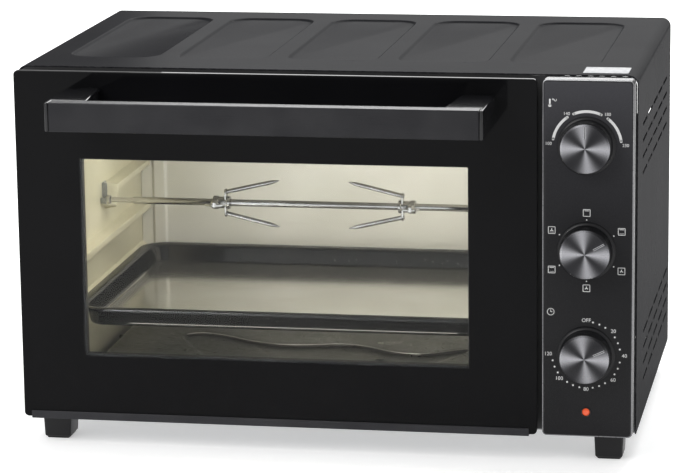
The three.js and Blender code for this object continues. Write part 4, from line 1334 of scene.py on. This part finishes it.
    def build_floor_plate(self) -> None:
        """The plate over the lower heaters, with its sunk field, rolled edges and an eyelet for drips."""
        low, high = span("floor_plate")
        x = np.linspace(low[0], high[0], self.plate_lines[0])
        y = np.linspace(low[1], high[1], self.plate_lines[1])
        xx, yy = np.meshgrid(x, y, indexing="ij")
        sink = self.field_sink * smooth_step(self.field_depth(xx, yy) / self.field_slope + 0.5)
        edge = np.minimum(np.minimum(xx - low[0], high[0] - xx), np.minimum(yy - low[1], high[1] - yy))
        roll = -1.2 * smooth_step(1 - edge / 3.0)
        points = np.stack([xx, yy, high[2] - sink + roll], axis=-1)
        make_piece("pressed_floor_plate", grid(points), "casing", [SHADED_FLOOR_SHEET],
                   ["floor_plate"], Work(crease=40, thickness=0.8, recalculate=False))
        # A pale tube along the field's far edge: painted highlight where that edge catches light.
        far_edge = self.star_outline()[:self.far_corners * 2 ** self.corner_cuts]
        line = np.column_stack([far_edge, np.full(len(far_edge), high[2] - 0.15)])
        make_piece("painted_highlight_field_edge", tube(line, 0.45, 8), "casing", [FIELD_EDGE_HIGHLIGHT])
        eyelet = [(3.4, -3.0), (3.4, -2.2), (4.0, -1.8), (5.2, -1.9), (6.0, -2.4), (6.0, -3.0), (3.4, -3.0)]
        place = (*self.drain, high[2])
        drain = lathe(eyelet, Axis.Z, place, 32)
        # A dark disc of painted shade in the eyelet's hole.
        hole_shade = lathe([(0.0, -3.4), (3.5, -3.4), (3.5, -2.3), (0.0, -2.3)], Axis.Z, place, 24)
        make_piece("drain_eyelet", joined([drain.marked(0), hole_shade.marked(1)]), "casing",
                   [SHADED_FLOOR_SHEET, INNER_PAINT])

    def build_tray(self) -> None:
        """The tray: rings from its rolled rim down its leaning wall, round the foot and over the floor."""
        low, high = span("baking_tray")
        rim, foot = high[2], low[2]
        steps = [(0.4, rim - 2.2), (0.0, rim - 1.4), (0.3, rim - 0.5), (1.1, rim), (2.2, rim - 0.2),
                 (6.6, rim - 0.5), (7.7, rim - 1.0), (8.3, rim - 2.2), (10.8, foot + 4.8),
                 (11.6, foot + 2.8), (13.4, foot + 1.5), (16.0, foot + 1.2), (19.0, foot + 1.2)]
        rings = plate_rings((low[0], high[0]), (low[1], high[1]), self.tray_radius, steps, Axis.Z, 14)
        tray = grid(rings, wrap=True)
        size = rings.shape[1]
        start = (len(steps) - 1) * size
        tray.faces.append(tuple(range(start, start + size)))
        tray.marks = [0] * ((len(steps) - 3) * size) + [1] * (2 * size + 1)
        make_piece("enamelled_tray", tray, "casing", [ENAMEL, TRAY_FLOOR],
                   ["baking_tray"],
                   Work(crease=60, thickness=0.9, recalculate=False))


# ---------------------------------------------------------------- rotisserie


@dataclass
class Rotisserie:
    """The spit with its two forks and their thumb screws."""

    rod_radius: float = 3.2
    journal: float = 2.3
    collar: float = 4.2
    square_length: float = 17.0
    square_half: float = 2.8
    hub_half: float = 8.0
    prong_radius: float = 2.0
    prong_start: tuple[float, float] = (2.6, 9.6)
    prong_run: tuple[float, float] = (51.4, 12.0)
    prong_points: int = 16
    screw_x: float = -4.5

    def build(self) -> None:
        """Makes the rod, forks and screws, and dresses the drive's CAD nodes."""
        self.build_rod()
        for side in ("left", "right"):
            self.build_fork(side)
        dress(CHROME, "drive_socket")
        dress(GALVANISED, "spit_bracket")
        dress(MOTOR_STEEL, "spit_motor")

    def build_rod(self) -> None:
        """The rod: a stepped turned bar, and a square end that fits the drive."""
        low, high = span("spit_rod")
        centre = (0.0, (low[1] + high[1]) / 2, (low[2] + high[2]) / 2)
        x = low[0]
        square = high[0] - self.square_length
        profile = [(0.0, x), (self.journal - 0.5, x), (self.journal, x + 0.5), (self.journal, x + 3.9),
                   (self.collar - 0.3, x + 3.9), (self.collar, x + 4.2), (self.collar, x + 7.1),
                   (self.collar - 0.3, x + 7.4), (self.journal, x + 7.4), (self.journal, x + 28.0),
                   (self.rod_radius, x + 29.6), (self.rod_radius, square), (2.5, square + 1.2),
                   (0.0, square + 1.2)]
        bar = lathe(profile, Axis.X, centre, 40)
        half = self.square_half
        tip = plate_rings((centre[1] - half, centre[1] + half), (centre[2] - half, centre[2] + half), 0.5,
                          [(0.0, square), (0.0, high[0] - 1.0), (0.9, high[0])], Axis.X, 3)
        make_piece("turned_spit", joined([bar, loft(tip)]), "spit", [CHROME], ["spit_rod"])

    def build_fork(self, side: str) -> None:
        """One fork: a turned hub, an end plate, and two prongs that lean away from the rod.

        Args:
            side: "left" or "right".
        """
        low, high = span(f"fork_{side}")
        towards = 1.0 if side == "left" else -1.0
        hub = low[0] + self.hub_half if side == "left" else high[0] - self.hub_half
        place = np.array((hub, (low[1] + high[1]) / 2, (low[2] + high[2]) / 2))
        fork = joined([self.fork_hub(), *self.fork_wires()])
        for kind, node, shape, bevel in (("turned_fork", "fork", fork, 0.25),
                                         ("wing_screw", "thumbscrew", self.wing_screw(), 0.2)):
            shape.points = shape.points * (towards, 1.0, 1.0) + place
            make_piece(f"{kind}_{side}", shape, f"{side}_{node}", [CHROME], [f"{node}_{side}"],
                       Work(bevel=bevel, crease=38))

    def fork_hub(self) -> Shape:
        """The hub, a tube with a shoulder at each end, and the end plate that the prongs start from."""
        bore, half = self.rod_radius + 0.3, self.hub_half
        profile = [(bore, -half), (5.6, -half), (6.2, -7.4), (6.2, -3.4), (5.4, -2.6), (5.4, 5.0),
                   (6.0, 5.6), (6.0, 7.6), (5.6, half), (bore, half), (bore, -half)]
        plate_outline = rounded_outline((-4.4, 4.4), (-13.0, 13.0), 3.6, 5)
        plate = prism(plate_outline, (3.2, 4.8), Axis.X)
        return joined([lathe(profile, Axis.X, (0.0, 0.0, 0.0), 32), plate])

    def fork_wires(self) -> list[Shape]:
        """Two wires: each leaves the plate, leans away from the rod, and ends in a point."""
        along = np.linspace(0.0, 1.0, self.prong_points)
        point = np.maximum(1 - ((along - 0.8) / 0.2) ** 2, 0.12)
        radii = self.prong_radius * np.where(along > 0.8, point, 1.0)
        x = self.prong_start[0] + self.prong_run[0] * along
        rise = self.prong_start[1] + self.prong_run[1] * along
        return [tube(np.column_stack([x, np.zeros_like(x), side * rise]), radii, 12) for side in (-1.0, 1.0)]

    def wing_screw(self) -> Shape:
        """A shank and a knurled collar in front of the hub, and two ears whose outline is a sine lobe."""
        x = self.screw_x
        start, end = -self.rod_radius - 1.6, -14.0
        profile = [(0.0, start), (2.0, start), (2.0, -8.8), (3.6, -8.8), (4.0, -9.2), (4.0, -11.4),
                   (3.4, -12.2), (2.4, end), (0.0, end)]
        stem = lathe(profile, Axis.Y, (x, 0.0, 0.0), 36, lambda a: 0.12 * np.cos(12 * a))
        turn = np.linspace(0.0, pi, 13)
        ears = []
        for side in (-1.0, 1.0):
            reach = 1.5 + 7.5 * np.sin(turn) ** 0.8
            depth = -9.6 - 7.2 * turn / pi
            outline = np.column_stack([x + side * reach, depth])
            ears.append(prism(outline, (-0.85, 0.85), Axis.Z))
        return joined([stem, *ears])


# ---------------------------------------------------------------- controls


@dataclass(frozen=True)
class Dial:
    """One knob: the first part of its nodes' names, and where its pointer stands in degrees."""

    name: str
    pointer: float


DIALS = (Dial("temperature", 0.0), Dial("function", 60.0), Dial("timer", 65.0))
FIGURE_HEIGHT = 0.7


def clockwise(degrees: float, stretch: float = 1.0) -> np.ndarray:
    """The way out at a clock angle on x and z, with x stretched."""
    return np.array([stretch * sin(radians(degrees)), cos(radians(degrees))])


@dataclass
class Printing:
    """Flat marks just proud of the panel's face, gathered into one shape."""

    plane: float
    marks: list[Shape] = field(default_factory=list)
    lift: float = 0.06

    def limits(self) -> tuple[float, float]:
        """Where the ink starts and ends along y."""
        return self.plane - self.lift, self.plane + self.lift

    def arc(self, centre: Sequence[float], radius: float, width: float, start: float, end: float) -> None:
        """A round band between two clock angles, with round ends.

        Args:
            centre: Its centre on x and z.
            radius: Radius of its middle.
            width: Width of the band.
            start: First angle in degrees, clockwise from the top.
            end: Last angle.
        """
        angles = np.radians(np.linspace(start, end, max(4, int(abs(end - start) / 4))))
        outer = np.column_stack([np.sin(angles), np.cos(angles)]) * (radius + width / 2)
        inner = np.column_stack([np.sin(angles), np.cos(angles)])[::-1] * (radius - width / 2)
        self.marks.append(prism(np.concatenate([outer, inner]) + np.asarray(centre), self.limits(), Axis.Y))
        for angle in (angles[0], angles[-1]):
            self.dot((centre[0] + radius * sin(angle), centre[1] + radius * cos(angle)), width / 2)

    def dot(self, centre: Sequence[float], radius: float) -> None:
        """A filled circle.

        Args:
            centre: Its centre on x and z.
            radius: Its radius.
        """
        angles = np.linspace(0, 2 * pi, 18, endpoint=False)
        outline = np.column_stack([np.cos(angles), np.sin(angles)]) * radius + np.asarray(centre)
        self.marks.append(prism(outline, self.limits(), Axis.Y))

    def bar(self, start: Sequence[float], end: Sequence[float], width: float) -> None:
        """A straight band between two points.

        Args:
            start: The first point on x and z.
            end: The second point.
            width: Width of the band.
        """
        a, b = np.asarray(start, float), np.asarray(end, float)
        run = (b - a) / np.linalg.norm(b - a)
        across = np.array([-run[1], run[0]]) * width / 2
        self.marks.append(prism([a + across, b + across, b - across, a - across], self.limits(), Axis.Y))

    def square(self, centre: Sequence[float], half: float, width: float) -> None:
        """An open square.

        Args:
            centre: Its middle on x and z.
            half: Half of its side.
            width: Width of its lines.
        """
        x, z = centre
        for sx, sz, ex, ez in ((-1, -1, 1, -1), (1, -1, 1, 1), (1, 1, -1, 1), (-1, 1, -1, -1)):
            self.bar((x + sx * half, z + sz * half), (x + ex * half, z + ez * half), width)

    def text(self, words: str, centre: Sequence[float], height: float) -> None:
        """Plain figures, drawn with the built-in font, as a mesh about their middle.

        Args:
            words: What is written.
            centre: Their middle on x and z.
            height: Height of a figure.
        """
        curve = bpy.data.curves.new("figures", "FONT")
        curve.body = words
        curve.align_x = "CENTER"
        curve.align_y = "CENTER"
        curve.resolution_u = 3
        curve.extrude = self.lift / height * FIGURE_HEIGHT
        holder = bpy.data.objects.new("figures", curve)
        bpy.context.scene.collection.objects.link(holder)
        bpy.context.view_layer.update()
        mesh = bpy.data.meshes.new_from_object(holder)
        points = np.zeros(len(mesh.vertices) * 3)
        mesh.vertices.foreach_get("co", points)
        flat = points.reshape(-1, 3) * height / FIGURE_HEIGHT
        placed = np.column_stack([flat[:, 0] + centre[0], self.plane - flat[:, 2], flat[:, 1] + centre[1]])
        faces = [tuple(polygon.vertices) for polygon in mesh.polygons]
        self.marks.append(Shape(placed, faces))
        bpy.data.objects.remove(holder)
        bpy.data.meshes.remove(mesh)
        bpy.data.curves.remove(curve)


@dataclass
class Controls:
    """The control panel with its printing, knobs and pilot lamp."""

    skirt: float = 24.8
    waist: float = 22.4
    front: float = 21.6
    height: float = 16.2
    cap: float = 21.0
    cap_face: float = 19.4
    heat_band: tuple[float, float] = (29.0, 2.3)
    heat_spans: tuple[tuple[float, float], ...] = ((-80.0, -35.0), (-23.0, 24.0), (37.0, 82.0))
    heat_figures: tuple[tuple[str, float], ...] = (
        ("100", -88.0), ("140", -32.0), ("180", 32.0), ("230", 89.0))
    heat_figure_ring: float = 31.6
    heat_figure_height: float = 2.7
    sign_dot_ring: float = 26.6
    sign_rings: tuple[float, float] = (32.6, 34.2)
    sign_half: float = 2.9
    line: float = 0.5
    minutes: tuple[str, ...] = ("OFF", "20", "40", "60", "80", "100", "120")
    minute_step: float = 45.0
    minute_ring: float = 30.2
    minute_height: float = 3.2
    minute_dot_ring: float = 29.2
    flutes: int = 72
    flute_depth: float = 0.22
    cap_drop: float = 1.3
    groove_start: float = 8.5
    groove_half: float = 0.48
    rail_offset: float = 0.62
    rail_half: float = 0.14

    def build(self) -> None:
        """Makes the panel, its printing, knobs and lamp rim, and dresses the controls behind it."""
        self.face = span("panel_face")[0][1]
        self.build_panel()
        self.build_printing()
        for dial in DIALS:
            self.build_knob(dial)
        self.build_lamp_rim()
        dress(PILOT, "indicator_lens")
        dress(CERAMIC, "thermostat", "selector_switch")
        dress(GALVANISED, "timer", *(f"{dial.name}_spindle" for dial in DIALS))

    def build_panel(self) -> None:
        """The housing, an open-backed shell with a chamfered front, and the lacquered face on it."""
        low, high = span("control_panel")
        wall = 2.0
        steps = [(wall, low[1] + wall), (wall, high[1]), (0.0, high[1]), (0.0, low[1] + 1.3),
                 (0.35, low[1] + 0.5), (1.2, low[1])]
        rings = plate_rings((low[0], high[0]), (low[2], high[2]), 4.0, steps, Axis.Y)
        make_piece("panel_housing", loft(rings), "casing", [HOUSING], ["control_panel"])
        # A pale band round the housing's front edge, standing in as painted highlight.
        steps = [(0.35, low[1] + 0.6), (0.5, low[1] - 0.1), (0.8, low[1] - 0.25), (1.15, low[1] - 0.1),
                 (1.3, low[1] + 0.4), (0.35, low[1] + 0.6)]
        rings = plate_rings((low[0], high[0]), (low[2], high[2]), 4.0, steps, Axis.Y, 10)
        make_piece("panel_edge_highlight", grid(rings, wrap=True), "casing", [RIM_HIGHLIGHT])
        low, high = span("panel_face")
        steps = [(0.0, high[1]), (0.0, low[1] + 0.5), (0.15, low[1] + 0.15), (0.5, low[1])]
        rings = plate_rings((low[0], high[0]), (low[2], high[2]), 3.0, steps, Axis.Y)
        make_piece("lacquered_face", loft(rings), "casing", [FACE], ["panel_face"])

    def build_printing(self) -> None:
        """Bands and figures for heat, marks and signs for the functions, and dots and figures for time."""
        ink = Printing(self.face)
        self.print_heat(ink, middle("temperature_knob")[[0, 2]])
        self.print_functions(ink, middle("function_knob")[[0, 2]])
        self.print_time(ink, middle("timer_knob")[[0, 2]])
        make_piece("panel_printing", joined(ink.marks), "casing", [INK])

    def print_heat(self, ink: Printing, centre: np.ndarray) -> None:
        """Three bands, four figures, and a thermometer beside them.

        Args:
            ink: What is printed with.
            centre: The knob's middle on x and z.
        """
        for start, end in self.heat_spans:
            ink.arc(centre, *self.heat_band, start, end)
        for words, angle in self.heat_figures:
            ink.text(words, centre + self.heat_figure_ring * clockwise(angle, 1.03), self.heat_figure_height)
        corner = centre + (-31.4, 33.6)
        ink.bar(corner, corner + (0.0, 5.6), 1.3)
        ink.dot(corner, 1.25)
        ink.arc(corner + (2.6, 5.4), 0.55, 0.35, 0, 330)
        ink.arc(corner + (4.6, 4.8), 0.95, 0.4, 45, 314.9)

    def print_functions(self, ink: Printing, centre: np.ndarray) -> None:
        """Six dots, each with a small square sign: a bar and dots for heat, three blades for the fan.

        Args:
            ink: What is printed with.
            centre: The knob's middle on x and z.
        """
        for number in range(6):
            out = clockwise(60.0 * number)
            ink.dot(centre + self.sign_dot_ring * out, 0.6)
            place = centre + out * self.sign_rings[0 if number % 3 == 0 else 1]
            ink.square(place, self.sign_half, self.line)
            if number in (0, 1, 4):
                ink.bar(place + (-1.9, 1.8), place + (1.9, 1.8), self.line)
            if number in (1, 4, 5):
                for step in (-1.5, -0.5, 0.5, 1.5):
                    ink.dot(place + (step, -1.7), 0.28)
            if number in (2, 3, 5):
                for lean in (0.0, 120.0, 240.0):
                    ink.bar(place, place + 1.5 * clockwise(lean), 0.75)

    def print_time(self, ink: Printing, centre: np.ndarray) -> None:
        """A figure each 45 degrees with three dots between, and a clock face beside them.

        Args:
            ink: What is printed with.
            centre: The knob's middle on x and z.
        """
        for number, word in enumerate(self.minutes):
            out = clockwise(self.minute_step * number, 1.08)
            ink.text(word, centre + self.minute_ring * out, self.minute_height)
        for number in range(len(self.minutes) - 1):
            for quarter in (1, 2, 3):
                out = clockwise(self.minute_step * (number + quarter / 4))
                ink.dot(centre + self.minute_dot_ring * out, 0.8)
        corner = centre + (-30.4, 37.0)
        ink.arc(corner, 2.9, self.line, 0, 359)
        for hand in ((0.0, 2.0), (1.5, 0.0)):
            ink.bar(corner, corner + hand, self.line)

    def build_knob(self, dial: Dial) -> None:
        """A knob: a fluted turned body with a skirt, a spun metal cap, and a pointer groove.

        Args:
            dial: Which one.
        """
        centre = middle(f"{dial.name}_knob")
        place = (centre[0], self.face, centre[2])
        body = f"{dial.name}_control"
        skirt = [(0.0, -0.3), (self.skirt - 0.4, -0.3), (self.skirt, -0.7), (self.skirt, -2.0),
                 (self.skirt - 0.5, -2.6), (self.waist + 0.4, -2.9), (self.waist + 0.1, -3.2), (0.0, -3.2)]
        grip = [(0.0, -3.0), (self.waist, -3.0), (self.waist - 0.1, -5.0),
                (self.front + 0.1, -self.height + 1.5), (self.front - 0.4, -self.height + 0.4),
                (self.front - 1.2, -self.height), (0.0, -self.height)]
        fluted = lathe(grip, Axis.Y, place, 4 * self.flutes, self.fluting)
        shape = joined([lathe(skirt, Axis.Y, place, 96), fluted])
        make_piece(f"fluted_{dial.name}_knob", shape, body, [MOULDED], [f"{dial.name}_knob"],
                   Work(crease=38))
        back = -self.height - 0.05
        front = back - self.cap_drop
        cap = [(0.0, back), (self.cap - 0.3, back), (self.cap, back - 0.25), (self.cap, back - 0.6),
               (self.cap - 0.25, back - 0.85), (self.cap_face, front), (self.cap_face * 0.6, front),
               (self.cap_face * 0.2, front), (0.0, front)]
        # The cap's base colour carries a painted highlight in two fans.
        metal = SpunFinishWithPaintedHighlight(f"spun_{dial.name}_cap", (0.028, 0.028, 0.03), (0.022, 0.022, 0.024), (0.24, 0.3),
                           patches=50, grain=2600, relief=0.00001, strength=0.25, metallic=1.0,
                           anisotropy=0.8, centre=tuple(to_frame(place).tolist()))
        make_piece(f"spun_{dial.name}_cap", lathe(cap, Axis.Y, place, 128), body, [metal],
                   [f"{dial.name}_knob_cap"], Work(crease=18))
        self.build_pointer(dial, place, body, front)

    def fluting(self, angles: np.ndarray) -> np.ndarray:
        """How far the grip's flutes go in at each angle: half a wave less than nought for each flute."""
        return -self.flute_depth * (0.5 - 0.5 * np.cos(self.flutes * angles))

    def build_pointer(self, dial: Dial, place: Sequence[float], body: str, front: float) -> None:
        """A pointer groove drawn as two bright rails of painted highlight with a dark floor of painted shade
        between, from near the middle to the rim.

        Args:
            dial: The knob.
            place: The middle of its base.
            body: The body that it rides on.
            front: The cap's front, measured from the panel's face.
        """
        x, face, z = place
        near, far = z + self.groove_start, z + self.cap_face - 0.4
        y = face + front
        half, thin = self.groove_half, self.rail_half
        # Bright rails of painted highlight and a dark floor of painted shade stand in for the groove.
        highlight_rails = [block((x + side - thin, y - 0.12, near), (x + side + thin, y + 0.1, far)).marked(0)
                 for side in (-self.rail_offset, self.rail_offset)]
        floor = block((x - half, y - 0.03, near), (x + half, y + 0.1, far)).marked(1)
        shape = joined([*highlight_rails, floor]).turned(radians(dial.pointer), (0, 1, 0), place)
        make_piece(f"{dial.name}_pointer", shape, body, [POINTER_HIGHLIGHT, INNER_PAINT])

    def build_lamp_rim(self) -> None:
        """A turned ring round the pilot lamp."""
        centre = middle("indicator_lens")
        profile = [(3.45, 0.4), (3.45, -0.5), (3.8, -0.75), (4.3, -0.6), (4.6, 0.0), (4.6, 0.4), (3.45, 0.4)]
        rim = lathe(profile, Axis.Y, (centre[0], self.face, centre[2]), 40)
        make_piece("pilot_rim", rim, "casing", [GLOSS_PLASTIC])


# ---------------------------------------------------------------- door


@dataclass
class Door:
    """The drop-down door: black-bordered glass, clear window, inner pan, handle and lower strip."""

    corner: float = 4.0
    chamfer: float = 0.6
    window_u: tuple[float, float] = (58.0, 398.0)
    window_v: tuple[float, float] = (58.0, 234.0)
    window_radius: float = 1.2
    bar_wall: float = 2.5
    post_cap: float = 3.0
    post_width: float = 33.0
    post_slope: float = 5.0
    strip_wall: float = 1.0

    def build(self) -> None:
        """Makes every piece of the door and dresses its CAD nodes."""
        self.build_glass()
        self.build_trim()
        self.build_handle()
        self.build_strip()
        dress(INNER_PAINT, "door_frame")
        dress(GALVANISED, "hinge_bracket_left", "hinge_bracket_right", "hinge_pin_left",
              "hinge_pin_right")

    def opening(self, inset: float, along: float) -> np.ndarray:
        """The window's outline, drawn in by an inset, at one depth.

        Args:
            inset: How far it is drawn in.
            along: Where it is along y.

        Returns:
            A ring for `loft`.
        """
        outline = rounded_outline((self.window_u[0] + inset, self.window_u[1] - inset),
                                  (self.window_v[0] + inset, self.window_v[1] - inset), self.window_radius)
        return np.column_stack([outline[:, 0], np.full(len(outline), along), outline[:, 1]])

    def build_glass(self) -> None:
        """The glass: rings over its back, edge, chamfer and front to the window's edge, and the pane."""
        low, high = span("door_glass")
        u, v = (low[0], high[0]), (low[2], high[2])
        outer = plate_rings(u, v, self.corner, [(0.0, high[1]), (0.0, low[1] + self.chamfer),
                                                (self.chamfer * 0.3, low[1] + self.chamfer * 0.25),
                                                (self.chamfer, low[1])], Axis.Y)
        inner = np.array([self.opening(0.0, low[1]), self.opening(0.0, high[1])])
        rings = np.concatenate([outer, inner, outer[:1]])
        make_piece("glass_border", grid(rings, wrap=True), "door", [BLACK_GLASS],
                   ["door_glass"], Work(crease=8))
        pane = np.array([self.opening(0.03, low[1] + 0.02), self.opening(0.03, high[1] - 0.02)])
        make_piece("clear_window", loft(pane), "door", [PANE])

    def build_trim(self) -> None:
        """A thin satin edging round the window, inside the pan."""
        low = span("door_frame")[0]
        near, far = low[1] + 0.1, low[1] + 2.2
        rings = np.array([self.opening(0.1, near), self.opening(1.1, near), self.opening(1.1, far),
                          self.opening(0.1, far), self.opening(0.1, near)])
        make_piece("window_edging", grid(rings, wrap=True), "door", [SATIN_STRIP])

    def build_handle(self) -> None:
        """The bar, a channel with softened edges, and the two end blocks that carry it."""
        low, high = span("handle_bar")
        inner_y, lower_z, upper_z = low[1] + self.bar_wall, low[2] + self.bar_wall, high[2] - self.bar_wall
        section = [(low[1], low[2]), (high[1], low[2]), (high[1], lower_z), (inner_y, lower_z),
                   (inner_y, upper_z), (high[1], upper_z), (high[1], high[2]), (low[1], high[2])]
        bar = prism(section, (low[0], high[0]), Axis.X)
        make_piece("channel_bar", bar, "door", [BRUSHED_BAR], ["handle_bar"],
                   Work(bevel=0.7, bevel_steps=3))
        for side in ("left", "right"):
            node = f"handle_post_{side}"
            p_low, p_high = span(node)
            end, inward = (p_low[0], 1) if side == "left" else (p_high[0], -1)
            cap, post = end + self.post_cap * inward, end + self.post_width * inward
            bar_back = high[1] + 0.3
            plan = [(end, p_low[1]), (cap, p_low[1]), (cap, bar_back), (post, bar_back),
                    (post - self.post_slope * inward, p_high[1]), (end, p_high[1])]
            shape = prism(plan, (p_low[2], p_high[2]), Axis.Z)
            make_piece(f"gloss_{node}", shape, "door", [GLOSS_PLASTIC], [node],
                       Work(bevel=0.9, bevel_steps=3))

    def build_strip(self) -> None:
        """The strip over the door's lower edge: an L carried along x."""
        low, high = span("door_bottom_rail")
        inner_y, top = low[1] + self.strip_wall, low[2] + self.strip_wall
        section = [(low[1], low[2]), (high[1], low[2]), (high[1], top), (inner_y, top),
                   (inner_y, high[2]), (low[1], high[2])]
        shape = prism(section, (low[0], high[0]), Axis.X)
        make_piece("lower_strip", shape, "door", [SATIN_STRIP], ["door_bottom_rail"],
                   Work(bevel=0.35, bevel_steps=2))


# ---------------------------------------------------------------- studio


@dataclass
class Studio:
    """Pale floor, soft lights, the oven lamp's light, and the camera."""

    camera_place: Colour = (0.50018, -2.74668, 0.76613)
    yaw: float = 10.522
    pitch: float = 12.152
    roll: float = -0.733
    lens: float = 167.26
    floor_half: float = 14.0
    surround: float = 0.62

    def build(self) -> None:
        """Makes the floor, world, lights and camera."""
        self.build_floor()
        self.build_world()
        self.build_camera()
        target = Vector((0.0, 0.0, 0.17))
        self.area("key", (-1.25, -2.0, 1.7), target, 1.3, 40.0)
        self.area("side", (2.6, -1.1, 0.35), target, 1.2, 8.0)
        self.area("top", (0.1, 1.7, 2.1), target, 2.0, 60.0)
        self.area("back", (0.0, 3.2, 1.1), Vector((0.0, 0.0, 0.34)), 2.0, 25.0)
        self.cavity_light()

    def area(self, name: str, place: Sequence[float], target: Vector, size: float, power: float,
             colour: Colour = (1.0, 1.0, 1.0), depth: float = 0.0) -> bpy.types.Object:
        """A square or oblong soft light aimed at a point.

        Args:
            name: Its name.
            place: Where it is.
            target: What it points at.
            size: Its side in metres.
            power: Its power in watts.
            colour: Its colour.
            depth: Its other side in metres, if it isn't square.

        Returns:
            The light.
        """
        data = bpy.data.lights.new(name, "AREA")
        data.size = size
        if depth:
            data.shape = "RECTANGLE"
            data.size_y = depth
        data.energy = power
        data.color = colour
        light = bpy.data.objects.new(name, data)
        light.location = place
        light.rotation_euler = (target - Vector(place)).to_track_quat("-Z", "Y").to_euler()
        bpy.context.scene.collection.objects.link(light)
        return light

    def cavity_light(self) -> None:
        """Warm light inside the cavity, from under its ceiling and from the lamp on the right wall."""
        low, high = span("cavity_ceiling")
        under = to_frame(((low[0] + high[0]) / 2 + 30, 110, low[2] - 8))
        below = Vector(under) - Vector((0, -0.02, 0.3))
        glow = self.area("cavity_glow", under, below, 0.33, 1.75, (1.0, 0.965, 0.89), 0.17)
        glow.visible_glossy = False
        lamp = to_frame(middle("lamp_glass") + np.array([-8.0, 0.0, 0.0]))
        target = Vector(to_frame((60, 240, 130)))
        self.area("cavity_lamp", lamp, target, 0.035, 0.4, (1.0, 0.92, 0.76)).visible_glossy = False
        place = to_frame((228, 3, 48))
        self.area("sill_glow", place, Vector(to_frame((228, 200, 30))), 0.3, 0.22, (1.0, 0.96, 0.86), 0.012)

    def build_floor(self) -> None:
        """A wide pale floor."""
        half = self.floor_half
        corners = [(-half, -half, 0), (half, -half, 0), (half, half, 0), (-half, half, 0)]
        mesh = bpy.data.meshes.new("floor")
        mesh.from_pydata(corners, [], [(0, 1, 2, 3)])
        floor = bpy.data.objects.new("floor", mesh)
        bpy.context.scene.collection.objects.link(floor)
        mesh.materials.append(PALE_FLOOR.material())

    def build_world(self) -> None:
        """An even, near-white surround."""
        world = bpy.data.worlds.new("studio")
        world.use_nodes = True
        background = world.node_tree.nodes["Background"]
        background.inputs["Color"].default_value = (1.0, 1.0, 1.0, 1.0)
        background.inputs["Strength"].default_value = self.surround
        bpy.context.scene.world = world
        bpy.context.scene.view_settings.view_transform = "Standard"

    def build_camera(self) -> None:
        """The camera: turned by its yaw, pitch and roll about its own place."""
        yaw, pitch, roll = radians(self.yaw), radians(self.pitch), radians(self.roll)
        forward = Vector((-sin(yaw) * cos(pitch), cos(yaw) * cos(pitch), -sin(pitch)))
        right = Vector((cos(yaw), sin(yaw), 0.0))
        up = right.cross(forward)
        across = right * cos(roll) + up * sin(roll)
        upward = up * cos(roll) - right * sin(roll)
        turn = Matrix((across, upward, -forward)).transposed().to_4x4()
        data = bpy.data.cameras.new("camera")
        data.lens = self.lens
        data.sensor_width = 36.0
        data.clip_end = 60.0
        camera = bpy.data.objects.new("camera", data)
        camera.matrix_world = Matrix.Translation(self.camera_place) @ turn
        bpy.context.scene.collection.objects.link(camera)
        bpy.context.scene.camera = camera


def main() -> None:
    """Builds the oven's sub-assemblies in order, then the studio round them."""
    logging.basicConfig(level=logging.INFO, format="%(name)s %(message)s")
    for part in (Casing(), Cavity(), Rotisserie(), Controls(), Door(), Studio()):
        LOG.info("building %s", type(part).__name__)
        part.build()


if __name__ == "__main__":
    main()
